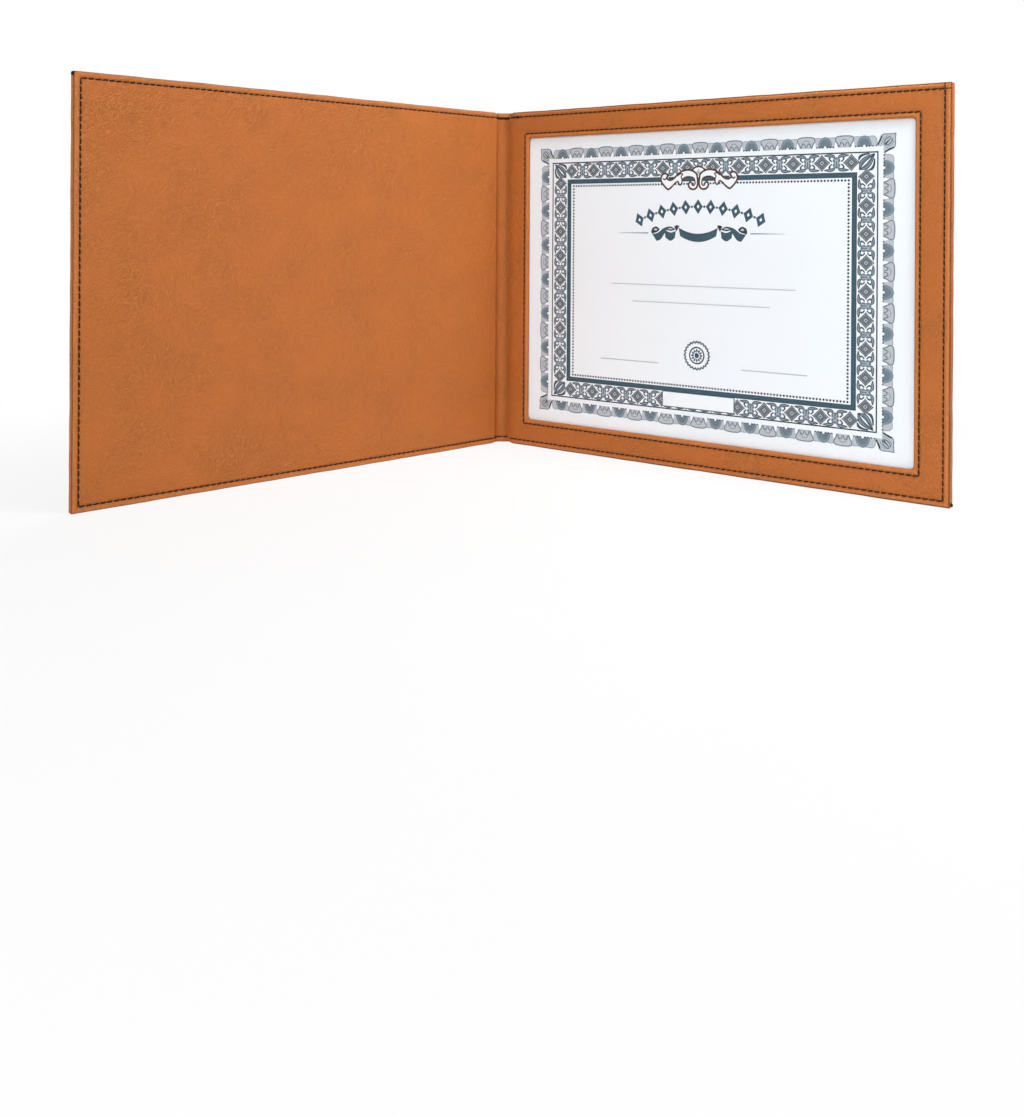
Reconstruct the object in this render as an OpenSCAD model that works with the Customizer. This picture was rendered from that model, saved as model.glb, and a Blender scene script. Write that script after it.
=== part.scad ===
// Standing certificate holder: two padded leatherette covers on a soft spine, a sheet behind a window.
// Each cover is drawn flat: x runs from its crease to the fore edge, y up, z from outside to inside.

/* [Covers] */
// Width of one cover, from its crease to the fore edge
cover_w = 303; // [240:1:420]
// Height of the covers
cover_h = 228.6; // [180:0.2:320]
// Radius of the fore corners, seen from the front
corner_r = 2.5; // [1.5:0.1:8]
// Angle between the inner faces as the holder stands
open_angle = 98; // [60:1:170]

/* [Spine] */
// Width of the spine between its two creases
spine_w = 7.2; // [6.9:0.1:14]
// From a crease to the step up onto the board
gutter_w = 2.7; // [2.4:0.1:6]
// Running gap round each crease
crease_gap = 0.2; // [0.1:0.05:0.3]

/* [Leatherette] */
// Thickness of the leatherette
skin_t = 0.9; // [0.8:0.05:1]
// Thickness of an edge pared down for turning in
hem_t = 0.45; // [0.3:0.05:0.6]
// Width of the outer skin turned in over the board
turn_in = 12; // [8:0.5:20]
// Width of the lining folded under along the open edges
lining_hem = 10; // [6:0.5:18]
// Outside radius of the outer skin's folded edge
edge_r = 1.2; // [0.4:0.1:1.4]
// Outside radius of the lining's folded edge
lining_r = 1; // [0.3:0.1:1.2]
// Gap at the mitred corners of the turned-in skin
mitre_gap = 0.3; // [0.1:0.1:1]

/* [Boards] */
// Thickness of the greyboard in each cover
board_t = 1.6; // [1.2:0.1:3]

/* [Window and pocket] */
// Frame width beside the window
stile_w = 19.5; // [17:0.5:40]
// Frame height above and below the window
rail_h = 18.3; // [17:0.1:40]
// Corner radius of the window
window_r = 2.5; // [1:0.1:8]
// Width of leatherette folded under round the window and along the pocket mouth
window_hem = 8; // [5:0.5:8]
// How far the sheet passes behind each stile
sheet_lap_w = 7.7; // [3:0.1:9]
// How far the sheet passes behind each rail
sheet_lap_h = 11.95; // [3:0.05:12.3]
// Thickness of the certificate sheet
sheet_t = 0.25; // [0.1:0.05:0.4]
// Play between the sheet and the pocket's edges
sheet_play = 0.35; // [0.1:0.05:1]
// Thickness of the clear film
film_t = 0.3; // [0.15:0.05:0.5]
// How far the film passes behind the frame
film_lap = 5; // [4:0.5:7.5]
// Thickness of the card that stiffens the frame
card_t = 0.8; // [0.5:0.1:1.5]

/* [Seams] */
// From the open edges to the perimeter seam
seam_inset = 3.6; // [2.5:0.1:4.5]
// From the window to its seam
window_seam = 3; // [2:0.1:4]
// Diameter of the sewing thread
thread_d = 0.6; // [0.4:0.05:0.7]
// Width of the channel that the seam presses into the leatherette
channel_w = 0.7; // [0.7:0.05:1]
// Depth of that channel
channel_d = 0.4; // [0.3:0.05:0.5]

/* [Hidden] */
$fn = 48;
// Overrun of every cut
over = 1;
// Gap under a thread in its channel
thread_seat = 0.02;
// The creases turn about the inner surface of skin and lining together
hinge_z = 2 * skin_t;
fold = (180 - open_angle) / 2;
crease_r = hinge_z + crease_gap;
// Levels through a cover, counted from its outer face
board_top = skin_t + board_t;
turn_top = board_top + hem_t;
lining_base = turn_top + hem_t;
front_t = lining_base + skin_t;
sheet_top = turn_top + sheet_t;
film_top = sheet_top + film_t;
card_base = film_top + hem_t;
card_top = card_base + card_t;
back_t = card_top + skin_t;
gutter_hem_top = skin_t + hem_t;
// Board, window, sheet and film outlines
board_x = gutter_w + skin_t;
window_w = cover_w - 2 * stile_w;
window_h = cover_h - 2 * rail_h;
fore_hem = stile_w - sheet_lap_w - sheet_play;
rail_hem = rail_h - sheet_lap_h - sheet_play;
thread_r = thread_d / 2;
// A thread's axis below the surface it shows on, and how far it stands proud
thread_sink = channel_d - thread_r - thread_seat;
thread_proud = thread_r - thread_sink;
inner_seam_x = gutter_w + lining_r;
// The front cover's directions seen from above, and its furthest points from the back crease
leaf_x = -cos(2 * fold);
leaf_y = -sin(2 * fold);
front_x = -spine_w * cos(fold);
front_y = -spine_w * sin(fold);
least_x = front_x + (cover_w - edge_r) * leaf_x + (hinge_z - edge_r) * leaf_y - edge_r;
least_y = front_y + (cover_w - lining_r) * leaf_y + (front_t - hinge_z - lining_r) * leaf_x - lining_r;
// The back crease, with the origin at the middle of the foot
back_x = -(cover_w + least_x) / 2;
back_y = -(hinge_z + thread_proud + least_y) / 2;

// Places of the three bodies

module in_back() {
    translate([back_x, back_y + hinge_z, 0]) rotate([90, 0, 0]) children();
}

module in_spine() {
    translate([back_x, back_y, 0]) rotate([0, 0, fold])
        translate([0, hinge_z, 0]) rotate([90, 0, 0]) mirror([1, 0, 0]) children();
}

module in_front() {
    translate([back_x + front_x, back_y + front_y, 0]) rotate([0, 0, 2 * fold])
        translate([0, hinge_z, 0]) rotate([90, 0, 0]) mirror([1, 0, 0]) children();
}

// Outlines and edge forms

// A leaf with square spine corners and round fore corners, between x0 and x1, set in by inset at head and foot
module leaf(x0, x1, inset, r) {
    translate([x0, inset]) square([x1 - r - x0, cover_h - 2 * inset]);
    translate([x0, inset + r]) square([x1 - x0, cover_h - 2 * inset - 2 * r]);
    for (y = [inset + r, cover_h - inset - r])
        translate([x1 - r, y]) circle(r);
}

// The window's outline grown by grow all round
module window_outline(grow) {
    r = window_r + grow;
    w = window_w + 2 * grow;
    h = window_h + 2 * grow;
    translate([cover_w / 2, cover_h / 2]) {
        square([w - 2 * r, h], center = true);
        square([w, h - 2 * r], center = true);
        for (x = [-1, 1], y = [-1, 1])
            translate([x * (w / 2 - r), y * (h / 2 - r)]) circle(r);
    }
}

// What rounding an edge takes away: x points out over the edge, y into the thickness
module spandrel(r) {
    difference() {
        translate([-r, -over]) square([r + over, r + over]);
        translate([-r, r]) circle(r);
    }
}

// Carries a profile from x0 along the foot, round the fore edge and back along the head
module sweep_open_edges(x0) {
    run_w = cover_w - corner_r - x0;
    translate([cover_w - corner_r, 0, 0]) rotate([90, 0, -90]) linear_extrude(run_w) children();
    translate([cover_w, cover_h - corner_r, 0]) rotate([90, 0, 0])
        linear_extrude(cover_h - 2 * corner_r) children();
    translate([x0, cover_h, 0]) rotate([90, 0, 90]) linear_extrude(run_w) children();
    for (head = [0, 1])
        translate([cover_w - corner_r, head ? cover_h - corner_r : corner_r, 0])
            rotate([0, 0, head ? 0 : -90]) rotate_extrude(angle = 90)
                translate([corner_r, 0]) children();
}

// Carries a profile round the window, with x pointing into the opening
module sweep_window() {
    straight_w = window_w - 2 * window_r;
    straight_h = window_h - 2 * window_r;
    translate([cover_w / 2, cover_h / 2, 0]) {
        for (s = [0, 180]) rotate([0, 0, s]) {
            translate([-straight_w / 2, -window_h / 2, 0]) rotate([90, 0, 90])
                linear_extrude(straight_w) children();
            translate([window_w / 2, -straight_h / 2, 0]) rotate([90, 0, 180])
                linear_extrude(straight_h) children();
        }
        for (x = [-1, 1], y = [-1, 1])
            translate([x * straight_w / 2, y * straight_h / 2, 0])
                rotate([0, 0, atan2(y, x) - 45]) rotate_extrude(angle = 90)
                    translate([window_r, 0]) mirror([1, 0]) children();
    }
}

// A straight profile along the whole height at x
module along_height(x) {
    translate([x, cover_h + over, 0]) rotate([90, 0, 0]) linear_extrude(cover_h + 2 * over) children();
}

// The hollow in which the spine's roll turns
module crease_hollow() {
    along_height(0) translate([0, hinge_z]) circle(crease_r);
}

// Perimeter seam: its channel and its thread, from x0 to the fore edge at level z
module seam_channel(x0) {
    w = cover_w - seam_inset - x0 + channel_w / 2;
    for (y = [seam_inset, cover_h - seam_inset])
        translate([x0, y - channel_w / 2, -channel_d]) cube([w, channel_w, channel_d + over]);
    translate([cover_w - seam_inset - channel_w / 2, seam_inset, -channel_d])
        cube([channel_w, cover_h - 2 * seam_inset, channel_d + over]);
}

module seam_thread(x0) {
    for (y = [seam_inset, cover_h - seam_inset])
        translate([x0, y, -thread_sink]) rotate([0, 90, 0])
            cylinder(h = cover_w - seam_inset - x0 + thread_r, r = thread_r);
    translate([cover_w - seam_inset, seam_inset, -thread_sink]) rotate([-90, 0, 0])
        cylinder(h = cover_h - 2 * seam_inset, r = thread_r);
}

// Pieces of a cover

module outer_skin() {
    difference() {
        linear_extrude(turn_top) leaf(0, cover_w, 0, corner_r);
        sweep_open_edges(-over) spandrel(edge_r);
        crease_hollow();
        // Bed of the board, and the field between the turned-in edges
        translate([0, 0, skin_t]) linear_extrude(board_t)
            leaf(board_x, cover_w - skin_t, skin_t, corner_r - skin_t);
        translate([-over, turn_in, skin_t])
            cube([cover_w - turn_in + over, cover_h - 2 * turn_in, turn_top]);
        // The edge stays low in the gutter, where there is no board
        translate([-over, -over, gutter_hem_top])
            cube([board_x + over, cover_h + 2 * over, turn_top]);
        // Mitres where the fore edge's turn-in meets the head's and the foot's
        for (head = [0, 1])
            translate([cover_w - skin_t, head ? cover_h - skin_t : skin_t, board_top])
                rotate([0, 0, head ? -135 : 135])
                    translate([0, -mitre_gap / 2, 0]) cube([2 * turn_in, mitre_gap, turn_top]);
        mirror([0, 0, 1]) seam_channel(crease_r);
    }
}

module board() {
    translate([0, 0, skin_t]) linear_extrude(board_t)
        leaf(board_x, cover_w - skin_t, skin_t, corner_r - skin_t);
}

// The lining's way through the gutter and up beside the board, to the level top
module gutter_step(top) {
    difference() {
        translate([0, 0, skin_t]) cube([board_x, cover_h, top - skin_t]);
        translate([-over, -over, hinge_z]) cube([gutter_w + over, cover_h + 2 * over, top]);
        for (y = [-over, cover_h - turn_in])
            translate([-over, y, 0]) cube([board_x + 2 * over, turn_in + over, gutter_hem_top]);
        crease_hollow();
    }
}

// Pieces of the front cover

module front_outer_skin() {
    color("peru") in_front() outer_skin();
}

module front_board() {
    color("gray") in_front() board();
}

module front_padding() {
    color("ivory") in_front() translate([board_x, turn_in, board_top])
        cube([cover_w - turn_in - board_x, cover_h - 2 * turn_in, lining_base - board_top]);
}

module front_lining() {
    color("sandybrown") in_front() difference() {
        union() {
            gutter_step(front_t);
            translate([0, 0, turn_top]) linear_extrude(front_t - turn_top)
                leaf(gutter_w, cover_w, 0, corner_r);
        }
        // Bed of the padding
        translate([board_x, lining_hem, 0])
            cube([cover_w - lining_hem - board_x, cover_h - 2 * lining_hem, lining_base]);
        translate([0, 0, front_t]) mirror([0, 0, 1]) sweep_open_edges(gutter_w) spandrel(lining_r);
        translate([0, 0, front_t]) mirror([0, 0, 1]) along_height(gutter_w)
            mirror([1, 0]) spandrel(lining_r);
        translate([0, 0, front_t]) seam_channel(inner_seam_x);
    }
}

module front_needle_thread() {
    color("black") in_front() translate([0, 0, front_t]) seam_thread(inner_seam_x);
}

module front_bobbin_thread() {
    color("black") in_front() mirror([0, 0, 1]) seam_thread(crease_r + thread_d);
}

// Pieces of the back cover

module back_outer_skin() {
    color("peru") in_back() outer_skin();
}

module back_board() {
    color("gray") in_back() board();
}

// The lining's tail: through the gutter, up beside the board and tucked in under the pocket
module back_gutter_lining() {
    color("sandybrown") in_back() difference() {
        union() {
            gutter_step(turn_top);
            translate([gutter_w, turn_in, board_top])
                cube([skin_t + lining_hem, cover_h - 2 * turn_in, hem_t]);
        }
        translate([0, 0, turn_top]) mirror([0, 0, 1]) along_height(gutter_w)
            mirror([1, 0]) spandrel(hem_t);
    }
}

module pocket_backing() {
    x0 = board_x + lining_hem;
    color("dimgray") in_back() translate([x0, turn_in, board_top])
        cube([cover_w - turn_in - x0, cover_h - 2 * turn_in, hem_t]);
}

module certificate() {
    color("whitesmoke") in_back() translate([stile_w - sheet_lap_w, rail_h - sheet_lap_h, turn_top])
        cube([window_w + 2 * sheet_lap_w, window_h + 2 * sheet_lap_h, sheet_t]);
}

module window_film() {
    color("lightcyan", 0.3) in_back() translate([stile_w - film_lap, rail_h - film_lap, sheet_top])
        cube([window_w + 2 * film_lap, window_h + 2 * film_lap, film_t]);
}

module frame_card() {
    color("lightgray") in_back() translate([0, 0, card_base]) linear_extrude(card_t) difference() {
        leaf(board_x, cover_w - skin_t, skin_t, corner_r - skin_t);
        window_outline(skin_t);
    }
}

// One skin folded round the card's outer edges and through its window, and turned in behind
module window_frame_skin() {
    color("sandybrown") in_back() difference() {
        translate([0, 0, turn_top]) linear_extrude(back_t - turn_top) difference() {
            leaf(gutter_w, cover_w, 0, corner_r);
            window_outline(0);
        }
        // Bed of the card
        translate([0, 0, card_base]) linear_extrude(card_t) difference() {
            leaf(board_x, cover_w - skin_t, skin_t, corner_r - skin_t);
            window_outline(skin_t);
        }
        // Field between the outer and the window turn-ins
        translate([0, 0, film_top]) linear_extrude(card_base - film_top) difference() {
            translate([gutter_w + window_hem, rail_hem])
                square([cover_w - fore_hem - gutter_w - window_hem, cover_h - 2 * rail_hem]);
            window_outline(window_hem);
        }
        // Pocket, open at the gutter
        translate([0, rail_hem, turn_top - over])
            cube([cover_w - fore_hem, cover_h - 2 * rail_hem, film_top - turn_top + over]);
        translate([0, 0, back_t]) mirror([0, 0, 1]) {
            sweep_open_edges(gutter_w) spandrel(lining_r);
            along_height(gutter_w) mirror([1, 0]) spandrel(lining_r);
            sweep_window() spandrel(lining_r);
        }
        translate([0, 0, back_t]) seam_channel(inner_seam_x);
        translate([0, 0, back_t - channel_d]) linear_extrude(channel_d + over) window_seam_line();
    }
}

// The window seam turns its corners sharply
module window_seam_line() {
    mid = window_seam;
    difference() {
        translate([cover_w / 2, cover_h / 2])
            square([window_w + 2 * mid + channel_w, window_h + 2 * mid + channel_w], center = true);
        translate([cover_w / 2, cover_h / 2])
            square([window_w + 2 * mid - channel_w, window_h + 2 * mid - channel_w], center = true);
    }
}

module window_thread() {
    x0 = stile_w - window_seam;
    y0 = rail_h - window_seam;
    w = window_w + 2 * window_seam;
    h = window_h + 2 * window_seam;
    color("black") in_back() translate([0, 0, back_t - thread_sink]) {
        for (y = [y0, y0 + h])
            translate([x0 - thread_r, y, 0]) rotate([0, 90, 0]) cylinder(h = w + thread_d, r = thread_r);
        for (x = [x0, x0 + w])
            translate([x, y0, 0]) rotate([-90, 0, 0]) cylinder(h = h, r = thread_r);
    }
}

module back_needle_thread() {
    color("black") in_back() translate([0, 0, back_t]) seam_thread(inner_seam_x);
}

module back_bobbin_thread() {
    color("black") in_back() mirror([0, 0, 1]) seam_thread(crease_r + thread_d);
}

// Pieces of the spine

// Section of the soft spine: flat inside, rolled over both creases with radius r
module spine_section(r) {
    difference() {
        union() {
            translate([0, hinge_z - r]) square([spine_w, r]);
            for (x = [0, spine_w]) translate([x, hinge_z]) circle(r);
        }
        translate([-r - over, hinge_z]) square([spine_w + 2 * r + 2 * over, r + over]);
    }
}

// A length of the spine from height y0 to y1, between the rolls of radius outer and inner
module spine_length(y0, y1, outer, inner) {
    translate([0, y1, 0]) rotate([90, 0, 0]) linear_extrude(y1 - y0) difference() {
        spine_section(outer);
        if (inner > 0) spine_section(inner);
    }
}

module spine_outer_skin() {
    color("peru") in_spine() difference() {
        union() {
            spine_length(0, cover_h, hinge_z, skin_t);
            spine_length(0, turn_in, skin_t + hem_t / 2, skin_t - hem_t);
            spine_length(cover_h - turn_in, cover_h, skin_t + hem_t / 2, skin_t - hem_t);
        }
        for (y = [seam_inset, cover_h - seam_inset])
            translate([0, y - channel_w / 2, -over]) cube([spine_w, channel_w, channel_d + over]);
    }
}

module spine_lining() {
    color("sandybrown") in_spine() difference() {
        spine_length(0, cover_h, skin_t, 0);
        // The outer skin's edge lies outside the lining here, which is pared down under it
        spine_length(-over, turn_in, skin_t + over, skin_t - hem_t);
        spine_length(cover_h - turn_in, cover_h + over, skin_t + over, skin_t - hem_t);
        for (y = [seam_inset, cover_h - seam_inset])
            translate([0, y - channel_w / 2, hinge_z - channel_d])
                cube([spine_w, channel_w, channel_d + over]);
    }
}

module spine_thread_pair() {
    for (y = [seam_inset, cover_h - seam_inset])
        translate([0, y, -thread_sink]) rotate([0, 90, 0]) cylinder(h = spine_w, r = thread_r);
}

module spine_needle_thread() {
    color("black") in_spine() translate([0, 0, hinge_z]) spine_thread_pair();
}

module spine_bobbin_thread() {
    color("black") in_spine() mirror([0, 0, 1]) spine_thread_pair();
}

back_outer_skin();
back_board();
back_gutter_lining();
pocket_backing();
certificate();
window_film();
frame_card();
window_frame_skin();
back_needle_thread();
back_bobbin_thread();
window_thread();
spine_outer_skin();
spine_lining();
spine_needle_thread();
spine_bobbin_thread();
front_outer_skin();
front_board();
front_padding();
front_lining();
front_needle_thread();
front_bobbin_thread();
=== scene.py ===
import bpy
import numpy as np
from mathutils import Matrix, Vector


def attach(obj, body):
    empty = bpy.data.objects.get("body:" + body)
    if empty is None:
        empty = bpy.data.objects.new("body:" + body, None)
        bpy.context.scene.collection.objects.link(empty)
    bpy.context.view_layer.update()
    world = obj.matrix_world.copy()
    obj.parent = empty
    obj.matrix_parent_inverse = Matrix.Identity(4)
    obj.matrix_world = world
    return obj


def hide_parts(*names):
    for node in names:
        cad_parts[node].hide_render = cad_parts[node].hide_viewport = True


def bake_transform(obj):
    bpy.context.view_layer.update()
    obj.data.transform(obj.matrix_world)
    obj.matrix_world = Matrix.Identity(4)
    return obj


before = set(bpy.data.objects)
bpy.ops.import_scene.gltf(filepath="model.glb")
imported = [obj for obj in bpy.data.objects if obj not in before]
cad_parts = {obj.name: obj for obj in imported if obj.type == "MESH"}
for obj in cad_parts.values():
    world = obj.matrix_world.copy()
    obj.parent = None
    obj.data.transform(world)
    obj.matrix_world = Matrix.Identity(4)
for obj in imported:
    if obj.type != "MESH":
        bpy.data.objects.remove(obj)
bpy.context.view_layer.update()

# The outer leatherette: one milled sheet over the outside of both covers and the soft spine. Its edges are
# pared, folded round the boards and glued down, then sewn. It is made here as two halves that meet along
# the spine's mid-line, so that each bends over one crease.

COVER_W, COVER_H = 303.0, 228.6
SPINE_W = 7.2
FOLD = np.radians(41.0)
SEAM_INSET = 3.6
CORNER_R = 1.0
# How far outside the creases' axes the outer face lies
HINGE_LEVEL = 1.8
# The open edges: the swelling between edge and seam, and how far the edge strays from a straight line
EDGE_PILLOW, EDGE_WANDER = 0.14, 0.13
# The surfaces' thickness in metres, and a last row so narrow that the cut edge doesn't shade the surface
SHEET_WALL = 0.00035
CUT_ROW = 0.05

back_crease = np.array([-126.884744, 151.486671])
front_crease = back_crease - SPINE_W * np.array([np.cos(FOLD), np.sin(FOLD)])
leaves = {
    "back": (back_crease, np.array([1.0, 0.0]), np.array([0.0, 1.0])),
    "front": (
        front_crease,
        np.array([-np.cos(2 * FOLD), -np.sin(2 * FOLD)]),
        np.array([-np.sin(2 * FOLD), np.cos(2 * FOLD)]),
    ),
}


def stand_up(side, p, q, v):
    """From a leaf's own plan to the row frame, in metres: crease + p * (away from the crease)
    + q * (towards the outside), with v straight up."""
    crease, along, outward = leaves[side]
    xy = crease + np.asarray(p)[..., None] * along + np.asarray(q)[..., None] * outward
    z = np.broadcast_to(np.asarray(v, float), xy.shape[:-1])
    return np.concatenate([xy, z[..., None]], -1) * 0.001


def bent_path(corners, radii, facing):
    """A line through the corners, with every inner corner replaced by the arc of its radius that touches
    both legs. Gives arc length (counted down from the first corner's p), points and unit normals; facing
    is +1 where the normal is the direction of travel turned left, and -1 where it is turned right."""
    corners = np.array(corners, float)
    legs = np.diff(corners, axis=0)
    legs /= np.linalg.norm(legs, axis=1)[:, None]
    points, normals = [corners[0]], [legs[0]]
    for corner, radius, before, after in zip(corners[1:-1], radii, legs[:-1], legs[1:]):
        turn = np.arctan2(before[0] * after[1] - before[1] * after[0], before @ after)
        start = corner - before * radius * np.tan(abs(turn) / 2)
        centre = start + np.sign(turn) * radius * np.array([-before[1], before[0]])
        steps = np.linspace(0, turn, 17)
        c, s = np.cos(steps), np.sin(steps)
        arm = start - centre
        points += list(np.stack([c * arm[0] - s * arm[1], s * arm[0] + c * arm[1]], 1) + centre)
        normals += list(np.stack([c * before[0] - s * before[1], s * before[0] + c * before[1]], 1))
    points.append(corners[-1])
    normals.append(legs[-1])
    points, travel = np.array(points), np.array(normals)
    length = np.concatenate([[0], np.cumsum(np.linalg.norm(np.diff(points, axis=0), axis=1))])
    normals = facing * np.stack([-travel[:, 1], travel[:, 0]], 1)
    return corners[0, 0] - length[::-1], points[::-1], normals[::-1]


def along_path(path, s):
    """Point and normal at arc length s, by straight interpolation between the path's samples."""
    length, points, normals = path
    where = np.stack([np.interp(s, length, points[:, k]) for k in (0, 1)], -1)
    face = np.stack([np.interp(s, length, normals[:, k]) for k in (0, 1)], -1)
    return where, face / np.linalg.norm(face, axis=-1)[..., None]


def ripple(x, y, seed):
    """Slow unevenness between -1 and 1: the mean of six sine waves of the place in mm, of wavelengths
    from 28 to 140 mm and turned by the golden angle from one to the next."""
    total = 0.0
    for k in range(6):
        angle = 2.4 * k + 1.7 * seed
        wave = 2 * np.pi / (28 + 22.4 * k)
        total = total + np.sin(wave * (np.cos(angle) * x + np.sin(angle) * y) + 2.1 * k * seed + k)
    return total / 6 * 1.6


def pucker(distance, run, pitch):
    """How deep a seam presses the leatherette in, in mm: a narrow groove that is deepest at the needle
    holes, at whole numbers of pitch along the run, in a wide shallow dip."""
    hole = (0.5 + 0.5 * np.cos(2 * np.pi * run / pitch)) ** 1.5
    return (0.2 + 0.24 * hole) * np.exp(-((distance / 0.5) ** 2)) + 0.13 * np.exp(-((distance / 1.5) ** 2))


def fold_profile(radius, depth, set_in, shoulder):
    """A folded edge's section, from the corner radius on: inset from the outline and depth under the face.
    A quarter circle of the radius, straight down, a quarter circle inwards of the shoulder's radius, and
    a flat end. All of it lies set_in from the outline."""
    turn = np.radians([0, 15, 30, 45, 60, 75, 90])
    inset = [CORNER_R, *(set_in + radius - radius * np.sin(turn))]
    drop = [0.0, *(radius - radius * np.cos(turn))]
    turn = turn[::2]
    inset += list(set_in + shoulder - shoulder * np.cos(turn)) + [set_in + shoulder + 0.7]
    drop += list(depth - shoulder + shoulder * np.sin(turn)) + [depth]
    return np.array(inset), np.array(drop)


def seam_lines(start, end, pitch, extra):
    """Grid lines half a stitch apart between start and end, with the extra lines let in and any line
    closer than 0.2 mm to its neighbour left out."""
    lines = np.arange(start, end, pitch / 2)
    extra = np.array(extra, float)
    lines = lines[np.min(np.abs(lines[:, None] - extra[None, :]), axis=1) > 0.45]
    lines = np.sort(np.concatenate([lines, extra]))
    return lines[np.concatenate([[True], np.diff(lines) > 0.2])]


# Fine grid lines beside the seam, as insets from an open edge
BAND_END = 7.0
seam_band = np.array([2.1, 2.6, 3.05, 3.35, 3.6, 3.85, 4.15, 4.6, 5.5, BAND_END])
# A stitch's length in mm, and how many there are along a cover's fore edge
STITCH, FORE_STITCHES = 3.8, 58
fore_pitch = (COVER_H - 2 * SEAM_INSET) / FORE_STITCHES


def folded_sheet(side, path, s_lines, profile, depth_at, seed, fore=True, crown=0.0, groove=0.9):
    """A sheet laid along a path, whose open edges are folded. Rows run along the path, columns up the
    height. Field points are (s, v). A point on one folded edge takes that edge's inset and depth; where
    two folds meet, ring m = max(i, j) of the corner is an arc of radius CORNER_R - inset, and the other
    index gives the angle, so the rings stay evenly filled. Every depth is measured along the normal, and
    is the fold's, plus the seam's puckers, less the pillow, the crown and a slow unevenness."""
    inset, drop = profile
    along = np.concatenate([[0], np.cumsum(np.hypot(np.diff(inset), np.diff(drop)))])
    half = COVER_H / 2
    n = len(inset)
    v_field = seam_lines(BAND_END, half, fore_pitch, [half])
    v_out = np.concatenate([half - v_field[::-1][:-1], half - seam_band[::-1]])
    v_out = np.concatenate([[0], np.sort(np.abs(v_out[v_out > 0.2]))])
    v_half = np.concatenate([v_out, half - inset])
    kb_half = np.concatenate([np.full(len(v_out), -1), np.arange(n)])
    v_signed = np.concatenate([-v_half[::-1], v_half[1:]])
    kb = np.concatenate([kb_half[::-1], kb_half[1:]])[None, :]
    s_all = np.concatenate([s_lines, COVER_W - inset]) if fore else s_lines
    ka = np.concatenate([np.full(len(s_lines), -1), np.arange(n)]) if fore else np.full(len(s_lines), -1)
    ka = ka[:, None]
    m, o = np.maximum(ka, kb), np.minimum(ka, kb)
    both = o >= 0
    angle = np.pi / 4 * along[np.clip(o, 0, None)] / np.maximum(along[np.clip(m, 0, None)], 1e-6)
    reach = CORNER_R - inset[np.clip(m, 0, None)]
    wide, narrow = np.cos(angle), np.sin(angle)
    s = np.where(both, COVER_W - CORNER_R + reach * np.where(ka >= kb, wide, narrow), s_all[:, None])
    up = np.sign(v_signed)[None, :]
    out = half - CORNER_R + reach * np.where(ka >= kb, narrow, wide)
    out = np.where(both, out, np.abs(v_signed)[None, :])
    v = half + up * out
    depth = np.where(m >= 0, drop[np.clip(m, 0, None)], 0) * depth_at(s) / drop[-1]
    # Distance in from the nearest open edge
    near = np.minimum(half - out, COVER_W - s) if fore else half - out
    flat = np.clip(1 - depth / 0.6, 0, 1)
    s0 = s_lines[0]
    pitch = (COVER_W - SEAM_INSET - s0) / round((COVER_W - SEAM_INSET - s0) / STITCH)
    ends = pucker(np.abs(half - out - SEAM_INSET), s - s0, pitch) * (s < COVER_W - SEAM_INSET + 0.4)
    rise = pucker(np.abs(COVER_W - s - SEAM_INSET), v - SEAM_INSET, fore_pitch)
    rise = rise * (out < half - SEAM_INSET + 0.4) if fore else 0
    depth = depth + flat * np.maximum(ends, rise)
    depth = depth - flat * EDGE_PILLOW * np.sin(np.pi * np.clip(near / SEAM_INSET, 0, 1)) ** 2
    # The crown and the unevenness die out towards the joint, where the two halves have to meet
    past_joint = np.clip((s - 5) / 9, 0, 1)
    inside = np.clip((near - SEAM_INSET - 1) / 9, 0, 1) * past_joint
    depth = depth - crown * inside * inside * (3 - 2 * inside)
    depth = depth - 0.045 * flat * ripple(s, v, seed) * np.clip((near - 1.5) / 6, 0.25, 1) * past_joint
    # The edge itself wanders a little, and both sheets of a cover wander together
    wander = np.exp(-np.clip(near, 0, None) / 4)
    v = v + wander * EDGE_WANDER * ripple(s * 2.2, 40 * up, 5) * up
    if fore:
        s = s + np.exp(-(COVER_W - s) / 4) * EDGE_WANDER * ripple(v * 2.2, 90 + 0 * v, 6)
    where, face = along_path(path, s)
    p, q = where[..., 0] - face[..., 0] * depth, where[..., 1] - face[..., 1] * depth
    # Paler where the edge is stretched, with a painted highlight on the raised rim; painted shade, with the
    # glue line, down in the joint with the sheet that meets it
    rim = np.exp(-(((near - 1.5) / 1.0) ** 2)) * np.clip(1.2 - depth, 0, 1)
    rim = rim - np.clip((depth / depth_at(s) - groove) / (1 - groove) * 1.6, 0, 1)
    return stand_up(side, p, q, v), s, v, rim


def grid_quads(rows, columns, ring=False):
    """Corner numbers of the quads between neighbouring rows and columns; a ring joins its last column
    to its first."""
    r = np.arange(rows - 1)[:, None]
    c = np.arange(columns if ring else columns - 1)[None, :]
    a, b = r * columns + c, r * columns + (c + 1) % columns
    return np.stack([a, b, b + columns, a + columns], -1).reshape(-1, 4)


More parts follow.
